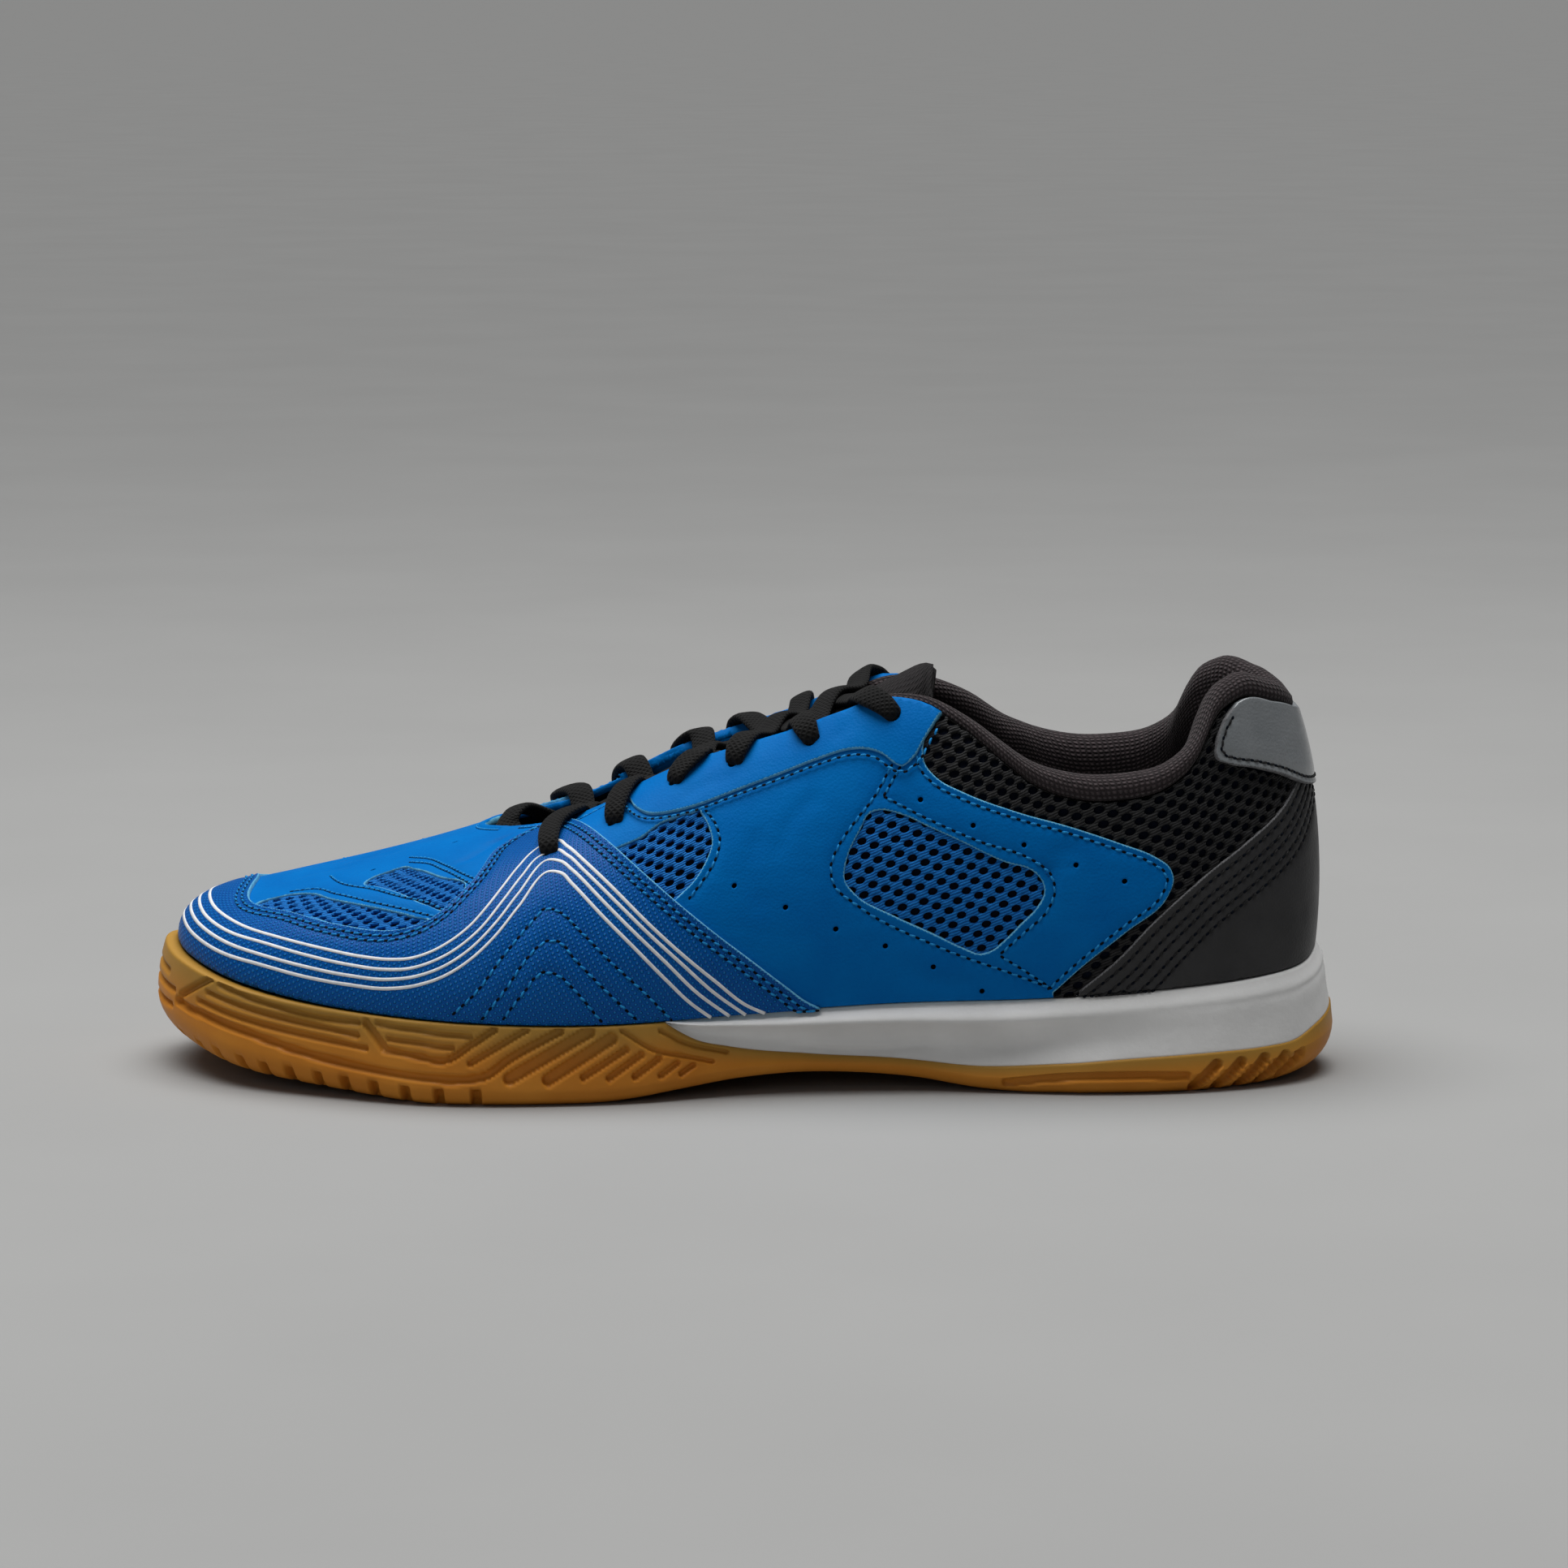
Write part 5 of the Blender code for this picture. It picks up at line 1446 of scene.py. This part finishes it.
def add_vamp():
    """Vamp from the throat's edge to under the guard. Gives its seams with their level, and its windows."""
    at = round_toe(VAMP_LOW, VAMP_TIP_HEIGHT)
    loops, rows, windows = [loop_of(line_at(at), rim_of(at))], [], []
    for side in (same, mirrored):
        cut = [window_of(window, side) for window in VAMP_WINDOWS]
        windows += cut
        loops += cut + holes_at(VAMP_HOLES, side, DOT) + holes_at(EYELETS[1:2], side, EYELET)
        rows += [line_of(row, side) for row in VAMP_ROWS]
    welt = to_flat(below_rim(TACK_TURNS, WELT_BELOW))
    tack = line_at(below_rim(TACK_TURNS, TACK_BELOW), TACK_STEP)
    bumps = relief(VAMP_CREASES, (same, mirrored), [(*THROAT_WELT, welt)])
    ties = {"node": "upper", "slot": "blue_leather"}
    panel("vamp", loops, VAMP_BOTTOM, BASE_TOP, BLUE_PANEL, [*rows, tack], bumps, **ties)
    stitches("throat_tack", [(tack, BASE_TOP)], [THREAD, HOLE_SHADE], TACK_PITCH, slot="blue_leather")
    return [(row, BASE_TOP) for row in rows], windows


def add_quarter(side, name, inward):
    """Quarter of one side. Gives its seams with their level, and its windows."""
    front_at, rear_at = (side(on_upper(line)) for line in (QUARTER_FRONT, QUARTER_REAR))
    rear = line_at(rear_at)
    edge = loop_of(line_at(front_at), rear, foot_of(np.concatenate([front_at, rear_at])))
    window = window_of(WINDOW, side)
    rows = [line_of(row, side) for row in QUARTER_ROWS]
    rows.append(aside(rear, inward * EDGE_SEAM)[QUARTER_SEAM])
    loops = [edge, window, *holes_at(QUARTER_HOLES, side, DOT)]
    bumps = relief(QUARTER_CREASES, [side])
    ties = {"node": f"quarter_panel_{name}", "slot": "blue_leather"}
    panel(f"quarter_{name}", loops, BASE_BOTTOM, BASE_TOP, BLUE_PANEL, rows, bumps, **ties)
    return [(row, BASE_TOP) for row in rows], [window, window_of(SMALL_WINDOW, side)]


def add_eyestay(side, name, inward):
    """Eyestay of one side. Gives its seam with its level."""
    at = side(on_upper(STAY_LOW))
    low = line_at(at)
    seam = aside(low, inward * EDGE_SEAM)[STAY_SEAM]
    loops = [loop_of(low, rim_of(at)), *holes_at(EYELETS[2:], side, EYELET)]
    bumps = relief(STAY_CREASES, [side])
    ties = {"node": f"eyestay_{name}", "slot": "blue_leather"}
    panel(f"eyestay_{name}_skin", loops, -WALL, STAY_TOP, BLUE_PANEL, [seam], bumps, **ties)
    return [(seam, STAY_TOP)]


def add_counter():
    """Heel counter. Gives its seams with their level."""
    at = round_heel(COUNTER_FRONT, COUNTER_BACK_HEIGHT)
    edge = line_at(at)
    rows = [aside(edge, gap) for gap in COUNTER_ROW_STEPS]
    bumps = relief(COUNTER_CREASES, (same, opposite))
    loops, finishes = [loop_of(edge, foot_of(at))], [BLACK, BLACK_PIECE_EDGE_AND_HIGHLIGHT, HOLE_SHADE]
    ties = {"node": "heel_counter", "slot": "black_leather"}
    panel("heel_counter_skin", loops, BASE_BOTTOM, BASE_TOP, finishes, rows, bumps, **ties)
    return [(row, BASE_TOP) for row in rows]


def add_patch():
    """Heel patch. Gives its seam with its level."""
    at = round_heel(PATCH_LOW, PATCH_BACK_HEIGHT)
    edge = line_at(at)
    seam = aside(edge, -EDGE_SEAM)[PATCH_SEAM]
    loops, finishes = [loop_of(edge, rim_of(at))], [GREY, BLACK_PIECE_EDGE_AND_HIGHLIGHT, HOLE_SHADE]
    ties = {"node": "heel_patch", "slot": "grey_leather"}
    panel("heel_patch_skin", loops, BASE_BOTTOM, STAY_TOP, finishes, [seam], **ties)
    return [(seam, STAY_TOP)]


def behind_quarter(side):
    """The flat region of black mesh between quarter, counter, heel patch and rim."""
    lines = (QUARTER_REAR, COUNTER_FRONT, PATCH_LOW[PATCH_CORNER])
    rear, front, patch = (side(on_upper(line)) for line in lines)
    rim = along_share(patch[-1, 0], rear[0, 0], MESH_TOP_SHARE)
    return to_flat(np.concatenate([rear, front, patch, rim]))


def add_lining():
    """Lining: the wall's two faces, joined at foot and rim."""
    turns, shares = np.meshgrid(LINING_TURNS, LINING_SHARES, indexing="ij")
    outer, inner = (off_upper(turns, shares, level + 0 * turns) for level in (LINING_LEVEL, -WALL))
    sections = np.concatenate([outer, inner[:, ::-1]], 1)
    hoop("lining", sections, [LINING], node="upper", slot="black_knit")


blue_rows = add_toe_guard()
vamp_rows, blue_windows = add_vamp()
blue_rows += vamp_rows
for side, name, inward in ((same, "lateral", 1), (mirrored, "medial", -1)):
    quarter_rows, quarter_windows = add_quarter(side, name, inward)
    blue_rows += quarter_rows + add_eyestay(side, name, inward)
    blue_windows += quarter_windows
black_rows = add_counter() + add_patch()
black_windows = [behind_quarter(side) for side in (same, opposite)]
net("mesh_blue", blue_windows, BLUE_NET, BLUE_NET_HOLE, slot="blue_leather")
net("mesh_black", black_windows, BLACK_NET, BLACK_NET_HOLE, slot="black_leather")
stitches("seams_blue", blue_rows, [THREAD, HOLE_SHADE], slot="blue_leather")
stitches("seams_black", black_rows, [BLACK_THREAD, HOLE_SHADE], slot="black_leather")
add_lining()


def lengths_uv(sections):
    """Millimetres along and round a swept piece."""
    along = length_of(sections.mean(axis=1))
    round_it = np.stack([length_of(section) for section in sections])
    return np.stack([np.broadcast_to(along[:, None], round_it.shape), round_it], -1).reshape(-1, 2)


def swept(name, parts, finish, **ties):
    """Pieces swept through closed sections, with flat coordinates along and round them."""
    return tubes(name, parts, [finish], [lengths_uv(part) for part in parts], **ties)


def rounded(sections, count):
    """Closed sections made smooth."""
    return np.stack([through(section, closed=True, count=count) for section in sections])


def collar_sections(stations):
    """Rounded sections of the padded roll and of its lining down the inside."""
    knots = COLLAR_SIZE["station"]
    roll, tail = (hermite(knots, COLLAR_SIZE[name], np.abs(stations)) for name in ("roll", "tail"))
    rim = rim_line(stations)
    out = upper_normal(stations, np.ones_like(stations))
    up = unit(rim - upper(stations, np.full_like(stations, COLLAR_LEAN)))
    points = []
    for out_by, up_by in zip(COLLAR_SECTION["out"], COLLAR_SECTION["up"]):
        wide = roll * (out_by - COLLAR_BACK) + COLLAR_BACK
        if up_by < 0:
            points.append(off_upper(stations, share_below(stations, -up_by * tail), wide))
        else:
            tall = roll * (up_by - COLLAR_LOW) + COLLAR_LOW
            points.append(rim + wide[:, None] * out + tall[:, None] * up)
    return rounded(np.stack(points[-1:] + points[:-1], 1), COLLAR_POINTS)


def tongue_rows(stations):
    """Rows of points over the tongue's top face, from its lateral wing to its medial one."""
    wing = np.interp(stations, TONGUE_WING["station"], TONGUE_WING["width"])
    sides = []
    for turn in (stations, 360 - stations):
        shares = [share_below(turn, wing * part) for part in (1.0, 0.5, 0.0)]
        sides.append([off_upper(turn, share, 0 * turn - TONGUE_DEPTH) for share in shares])
    lateral, medial = sides
    reach = TONGUE_ARCH * np.linalg.norm(lateral[2] - medial[2], axis=-1, keepdims=True)
    handles = [side[2] + reach * unit(side[2] - side[1]) for side in sides]
    bridge = [bezier(lateral[2], *handles, medial[2], t) for t in (0.25, 0.5, 0.75)]
    return np.stack([*lateral, *bridge, *reversed(medial)], 1)


def tongue_sections():
    """Rounded sections of the tongue, out to its free end."""
    top = TONGUE_GRID
    last = top[-1]
    middle = last.shape[0] // 2
    ahead = unit(last[middle] - top[-4, middle])
    full = np.ones(len(top))
    for reach in np.linspace(0, TONGUE_END, TIP_ROWS + 1)[1:]:
        past = max(0.0, reach / TONGUE_END - TONGUE_ROUND) / (1 - TONGUE_ROUND)
        round_it = math.sqrt(1 - TIP_THIN * past**2)
        narrow = (1 - TIP_NARROW * reach / TONGUE_END) * (1 - TIP_CORNER + TIP_CORNER * round_it)
        top = np.concatenate([top, (last * (1, narrow, 1) + reach * ahead)[None]])
        full = np.append(full, round_it)
    down = unit(np.cross(np.gradient(top[:, middle], axis=0), [0, 1, 0]))
    down = (down * -np.sign(down[:, 2:]))[:, None] * TONGUE_THICKNESS
    thick = full[:, None, None]
    over, under = top + down * (1 - thick) / 2, top + down * (1 + thick) / 2
    return rounded(np.concatenate([under[:, ::-1], over], 1), TONGUE_POINTS)


def add_insole():
    """Insole: a dished sheet from edge to edge, its rim turned down."""
    turns = INSOLE_TURNS
    gap = np.full_like(turns, INSOLE_GAP)
    edges = [inset(RIBS, UPPER_LENGTH, turn, gap) for turn in (turns, 360 - turns)]
    rows = [with_height(edges[0], foot_height(turns) + INSOLE_LOW)]
    for part in INSOLE_PARTS:
        high = INSOLE_HIGH - INSOLE_DISH * (1 - abs(2 * part - 1) ** 6)
        rows.append(with_height(edges[0] * (1 - part) + edges[1] * part, foot_height(turns) + high))
    rows.append(with_height(edges[1], foot_height(turns) + INSOLE_LOW))
    tubes("insole_sheet", [np.stack(rows, 1)], [FELT], node="insole", slot="grey_felt")


collar = swept("collar_roll", [collar_sections(COLLAR_TURNS)], KNIT, node="collar", slot="black_knit")
TONGUE_GRID = tongue_rows(TONGUE_TURNS)
tongue = swept("tongue_pad", [tongue_sections()], PAD, node="tongue", slot="black_knit")
add_insole()

# The sole's side rolled out flat, and the line between its foam and its gum
SOLE_TURNS = np.linspace(-130, 490, 6201)
SOLE_ALONG = length_of(outline(SOLE, SOLE_LENGTH, SOLE_TURNS))
GUM_AT = np.append([(0.0, GUM_BACK_HEIGHT)], on_wall(GUM_LINE)[::-1], axis=0)
WEDGE_TIP = float(GUM_AT[-1, 0])


def wall_flat(at):
    """Stations and heights on the sole's side as millimetres."""
    return np.stack([np.interp(at[:, 0], SOLE_TURNS, SOLE_ALONG), at[:, 1]], -1)


def wall_line(at):
    """A smooth flat line through stations and heights on the sole's side."""
    return through(wall_flat(at), FINE_STEP)


def wall_places(turns, heights):
    """Stations and heights of a grid of points on the sole's side, in one list."""
    return np.stack([np.broadcast_to(turns[:, None], heights.shape).ravel(), heights.ravel()], -1)


def side_points(turns, gaps, heights):
    """Points of the sole's side, from how far inside the outline they lie and their heights."""
    rows = [inset(SOLE, SOLE_LENGTH, turns, gap) for gap in gaps.T]
    return np.stack([with_height(row, height) for row, height in zip(rows, heights.T)], 1)


def gum_top(stations):
    """Height of the gum's upper edge."""
    turn = folded(stations)
    behind = hermite(*GUM_AT.T, np.minimum(turn, WEDGE_TIP))
    return np.where(turn < WEDGE_TIP, behind, foot_height(stations) - FOOT_GAP)


def arch(stations):
    """How far the sole's lower side leans in under the arch."""
    turn = folded(stations)
    (start, rise), (stop, fall) = ARCH_START, ARCH_STOP
    return ARCH_DEPTH * np.clip((turn - start) / rise, 0, 1) * np.clip((stop - turn) / fall, 0, 1)


def tread_height(stations):
    """Height of the tread above the floor."""
    return np.maximum(both_sides(TREAD, "height", stations), 0)


def lower_round(stations):
    """Radius of the sole's lower edge."""
    limit = ROUND_LIMIT * (gum_top(stations) - tread_height(stations))
    return np.minimum(both_sides(SOLE, "round", stations), limit)


def add_wedge():
    """Foam wedge behind its tip, with a waist, a ridge and a moulded line along its side."""
    turns = np.linspace(-WEDGE_TIP, WEDGE_TIP, WEDGE_SECTIONS)
    low, high = gum_top(turns), foot_height(turns) - WEDGE_GAP
    names = ("low", "waist", "ridge", "top")
    edge, waist, ridge, top = (both_sides(WEDGE_SIDE, name, turns) for name in names)
    edge = edge + arch(turns)
    waist = waist + WAIST_ARCH * arch(turns)
    knots = np.stack([edge, waist, (1 - RIDGE_PART) * waist + RIDGE_PART * ridge, ridge, ridge, top])
    rows = [(edge + gap, low - down) for gap, down in WEDGE_FOOT]
    for part in np.linspace(0, WEDGE_SHARES[-1], WEDGE_ROWS):
        gap = np.array([hermite(WEDGE_SHARES, column, part) for column in knots.T])
        rows.append((gap, low + part * (high - low)))
    rows += [(top + gap, high - down) for gap, down in WEDGE_SHOULDER]
    gaps, heights = (np.stack(column, 1) for column in zip(*rows))
    flat = wall_flat(wall_places(turns, heights))
    depth, width, line = WEDGE_LINE
    for side in (same, opposite):
        apart = nearest(flat, wall_line(side(on_wall(line))))
        gaps = gaps + depth * np.exp(-((apart / width) ** 2)).reshape(gaps.shape)
    points = side_points(turns, gaps, heights)
    tubes("midsole_wedge", [points], [FOAM], [flat], node="midsole", slot="white_foam")


def sole_grooves():
    """Points along the grooves of the gum's side, with the width and depth of each."""
    lines = []
    for width, depth, line in SOLE_GROOVES:
        at = on_wall(line)
        lines += [(wall_line(side(at)), (width, depth)) for side in (same, mirrored)]
    for share, first in zip(TOE_RIBS["share"], TOE_RIBS["first"]):
        turns = np.linspace(first, 360 - first, TOE_RIB_POINTS)
        heights = tread_height(turns) + share * (gum_top(turns) - tread_height(turns))
        lines.append((wall_line(np.stack([turns, heights], -1)), TOE_RIB_SIZE))
    spots = np.concatenate([spots for spots, _ in lines])
    return spots, np.concatenate([np.broadcast_to(size, spots.shape) for spots, size in lines])


def groove_depths(flat):
    """How deep the grooves of the gum's side are at flat points."""
    spots, sizes = sole_grooves()
    number, gap = found_in(tree_of(spots), flat)
    width, depth = sizes[number].T
    edge = np.clip((width / 2 + GROOVE_MARGIN - gap) / GROOVE_SLOPE, 0, 1)
    return GROOVE_GAIN * depth * edge**2 * (3 - 2 * edge)


def notch_depths(flat, rise):
    """How deep the notches of the lower edge are at flat points that rise so far above the tread."""
    at = on_wall(np.stack([NOTCH_PLACES, np.interp(NOTCH_PLACES, *np.transpose(SOLE_BOTTOM))], -1))
    along = np.concatenate([wall_flat(side(at))[:, 0] for side in (same, mirrored)])
    width, depth, height = NOTCH_SIZE
    side_slope, top_slope = NOTCH_SLOPES
    apart = np.abs(flat[:, :1] - along).min(axis=1)
    beside = np.clip((width / 2 + NOTCH_MARGIN - apart) / side_slope, 0, 1)
    return depth * (beside * np.clip((height - rise) / top_slope, 0, 1))


def add_gum_wall():
    """Gum wall with a rounded lower edge, side grooves, edge notches and a bulge at the toe."""
    ends = np.interp([0, 360], SOLE_TURNS, SOLE_ALONG)
    turns = np.interp(np.linspace(*ends, GUM_SECTIONS, endpoint=False), SOLE_ALONG, SOLE_TURNS)
    tread, top, curved = tread_height(turns), gum_top(turns), lower_round(turns)
    rows = []
    for a in np.radians(np.linspace(0, 90, ROUND_ROWS)):
        rows.append((curved * (1 - math.sin(a)), tread + curved * (1 - math.cos(a))))
    bend = tread + curved
    for part in np.linspace(0, 1, SIDE_ROWS + 1)[1:]:
        rows.append((GUM_LEAN * part + 0 * turns, bend + part * (top - GUM_LIP - bend)))
    rows += [(gap + 0 * turns, top - down) for gap, down in GUM_SHOULDER]
    inner_gap, inner_rise = GUM_INSIDE
    rows.append((curved + inner_gap, tread + inner_rise))
    gaps, heights = (np.stack(column, 1) for column in zip(*rows))
    at = wall_places(turns, heights)
    flat = wall_flat(at)
    carved = np.maximum(groove_depths(flat), notch_depths(flat, flat[:, 1] - tread_height(at[:, 0])))
    carved = carved.reshape(heights.shape)
    carved[:, -PLAIN_ROWS:] = 0
    share = (heights - tread[:, None]) / (top - tread)[:, None]
    toe = np.exp(-(((turns - 180) / TOE_SPAN) ** 2))[:, None]
    carved -= TOE_BULGE * toe * np.clip(4 * share * (1 - share), 0, 1)
    points = side_points(turns, gaps + arch(turns)[:, None] + carved, heights)
    uv = np.stack([flat[:, 0], GUM_SHARE_SIZE * share.ravel()], -1)
    hoop("outsole_wall", points, [GUM], uv, node="outsole", slot="gum_rubber")


def add_tread():
    """Tread: a herringbone of grooves cut up into the gum."""
    turns, parts = TREAD_TURNS, TREAD_PARTS
    curved = lower_round(turns)
    edges = [inset(SOLE, SOLE_LENGTH, turn, curved + arch(turn)) for turn in (turns, 360 - turns)]
    plan = edges[0][:, None] * (1 - parts[None, :, None]) + edges[1][:, None] * parts[None, :, None]
    zigzag = np.abs((plan[..., 1] / ZIGZAG_WIDTH) % 2 - 1) * ZIGZAG_REACH + plan[..., 0]
    groove = np.clip(CHANNEL_CUT - CHANNEL_SLOPE * np.abs((zigzag / CHANNEL_PITCH) % 1 - 0.5), 0, 1)
    groove *= (np.abs(parts - 0.5) < TREAD_HALF)[None]
    floor = tread_height(turns)[:, None]
    low, high = with_height(plan, floor + CHANNEL_DEPTH * groove), with_height(plan, floor + TREAD_SLAB)
    sections = np.concatenate([low, high[:, ::-1]], 1)
    tubes("outsole_tread", [sections], [GUM], node="outsole", slot="gum_rubber")


add_wedge()
add_gum_wall()
add_tread()

# The lace's eyelets, and where along the shoe the throat's edge and the eyelets are
EYE_AT = on_upper(EYELETS)
EYE_ALONG = off_upper(*EYE_AT.T, STAY_TOP)[:, 0]
RIM_TURNS = np.linspace(180, 62, 237)
RIM_ALONG = rim_line(RIM_TURNS)[:, 0]


def rim_turn(along):
    """The station at which the throat's edge is so far along."""
    return float(np.interp(along, RIM_ALONG, RIM_TURNS))


def tongue_top(along, part):
    """A point on the tongue's top face: part runs from the outer rim (0) to the inner one (1)."""
    column = 2 + 4 * part
    first = min(int(column), TONGUE_GRID.shape[1] - 2)
    line = TONGUE_GRID[:, first] * (1 + first - column) + TONGUE_GRID[:, first + 1] * (column - first)
    return np.array([along, *(np.interp(along, line[:, 0], line[:, k]) for k in (1, 2))])


class Strand:
    """Knots of one lace strand, given on the outer side and turned over for the inner one."""

    def __init__(self, side):
        self.side = side
        self.points, self.faces, self.widths = [], [], []

    def add(self, station, share, level, width, far):
        """A knot above or below the upper's face."""
        turn = station if (self.side > 0) != far else 360 - station
        self.points.append(off_upper(turn, share, level))
        self.faces.append(upper_normal(turn, share))
        self.widths.append(width)

    def rest(self, along, part, lift):
        """A knot over the tongue."""
        spot = tongue_top(along, part if self.side > 0 else 1 - part)
        self.points.append(spot + lift * np.array(CROWN_FACE))
        self.faces.append(CROWN_FACE)
        self.widths.append(LACE_WIDTH)

    def edge(self, place, edge_turn, tops=None, far=False):
        """Knots between an eyelet and the throat's edge: over the leather's tops if given, else under it."""
        turn, share = place
        knots = [(turn, share, LACE_UNDER, UNDER_WIDTHS[0]), (edge_turn, 1.0, LACE_UNDER, UNDER_WIDTHS[1])]
        if tops:
            places = [place, place, ((turn + edge_turn) / 2, (1 + share) / 2), (edge_turn, 1.0)]
            levels = (0.0, tops[0], max(tops), tops[1])
            knots = [
                (*at, level + lift, width)
                for at, level, lift, width in zip(places, levels, OVER_LIFTS, OVER_WIDTHS)
            ]
        for knot in knots[::-1] if far else knots:
            self.add(*knot, far)

    def sections(self):
        """Flat oval sections along a smooth path through the knots."""
        points, faces = np.array(self.points), np.array(self.faces)
        knots = length_of(points)
        at = np.linspace(0, knots[-1], LACE_SECTIONS)
        path = curve(knots, points, at)
        face = np.stack([np.interp(at, knots, column) for column in faces.T], -1)
        wide = np.interp(at, knots, self.widths)
        lead = unit(np.gradient(path, axis=0))
        side = unit(np.cross(lead, face))
        face = np.cross(side, lead)
        thick = LACE_THICKNESS * (1 + PINCH_SWELL * (1 - wide / LACE_WIDTH))
        rows = []
        for a in around(LACE_POINTS):
            out, up = (math.copysign(abs(x) ** LACE_CORNER, x) / 2 for x in (math.cos(a), math.sin(a)))
            rows.append(path + (out * wide)[:, None] * side + (up * thick)[:, None] * face)
        return np.stack(rows, 1)


def lace_row(number):
    """The two strands of one crossing, from this pair of eyelets to the next."""
    start = EYE_ALONG[number]
    step = EYE_ALONG[number + 1] - start
    near, far = (rim_turn(start + parts[number] * step) for parts in (NEAR_PARTS, FAR_PARTS))
    tops = (EYE_TOPS[number], EDGE_TOPS[number]) if number < OVER_STARTS else None
    next_tops = (STAY_TOP, STAY_TOP) if number >= UNDER_ENDS else None
    strands = []
    for side, lifts in STRAND_LIFTS:
        strand = Strand(side)
        strand.edge(EYE_AT[number], near, tops)
        for part, across_it, lift in zip(REST_PARTS[number], CROSS_PARTS, lifts):
            strand.rest(start + part * step, across_it, lift)
        strand.edge(EYE_AT[number + 1], far, next_tops, far=True)
        strands.append(strand.sections())
    return strands


def lace_bar():
    """The first run of the lace, across the front of the throat from eyelet to eyelet."""
    strand = Strand(1)
    strand.edge(EYE_AT[0], rim_turn(BAR_ALONG[0]))
    for part, along, lift in zip(BAR_PARTS, BAR_ALONG[1:-1], BAR_LIFTS):
        strand.rest(along, part, lift)
    strand.edge(EYE_AT[0], rim_turn(BAR_ALONG[-1]), far=True)
    return [strand.sections()]


swept("lace_bar", lace_bar(), CORD, slot="black_cord")
for number in range(len(EYELETS) - 1):
    name = f"lace_row_{number + 1}"
    swept(name, lace_row(number), CORD, node=f"lace_cross_{number + 1}", slot="black_cord")


def add_floor():
    """A wide pale floor."""
    bpy.ops.mesh.primitive_plane_add(size=FLOOR_SIZE, location=(0, 0, 0))
    floor = bpy.context.object
    floor.name = "floor"
    floor.data.materials.append(FLOOR)


def add_light(name, kind, place, power, **sizes):
    """A light that shines on the shoe."""
    data = bpy.data.lights.new(name, kind)
    data.energy = power
    for size, value in sizes.items():
        setattr(data, size, value)
    made = bpy.data.objects.new(name, data)
    bpy.context.scene.collection.objects.link(made)
    made.location = place
    made.rotation_euler = (Vector(LIT_PLACE) - Vector(place)).to_track_quat("-Z", "Y").to_euler()


def add_world():
    """Grey light from all round."""
    world = bpy.data.worlds.new("studio")
    world.use_nodes = True
    background = world.node_tree.nodes["Background"]
    background.inputs["Color"].default_value = WORLD_COLOUR
    background.inputs["Strength"].default_value = WORLD_STRENGTH
    bpy.context.scene.world = world


def add_camera():
    """The camera, where the photograph was taken from."""
    camera = bpy.data.objects.new("camera", bpy.data.cameras.new("camera"))
    bpy.context.scene.collection.objects.link(camera)
    camera.data.lens = LENS
    camera.data.sensor_width = SENSOR
    ahead, _ = sight()
    camera.location = Vector((SHEET_CENTRE - SIGHT_DISTANCE * ahead) * MM)
    camera.rotation_euler = Vector(ahead).to_track_quat("-Z", "Y").to_euler()
    bpy.context.scene.camera = camera
    bpy.context.scene.view_settings.view_transform = "Standard"


add_floor()
add_light("sky", "SUN", (-0.15, 0.1, 1.25), 2.3, angle=math.radians(60))
add_light("overhead", "AREA", (-0.05, 0.1, 1.25), 11, shape="RECTANGLE", size=1.3, size_y=0.8)
add_light("fill", "AREA", (-0.6, -1.5, 0.7), 1.6, shape="RECTANGLE", size=1.2, size_y=0.8)
add_world()
add_camera()
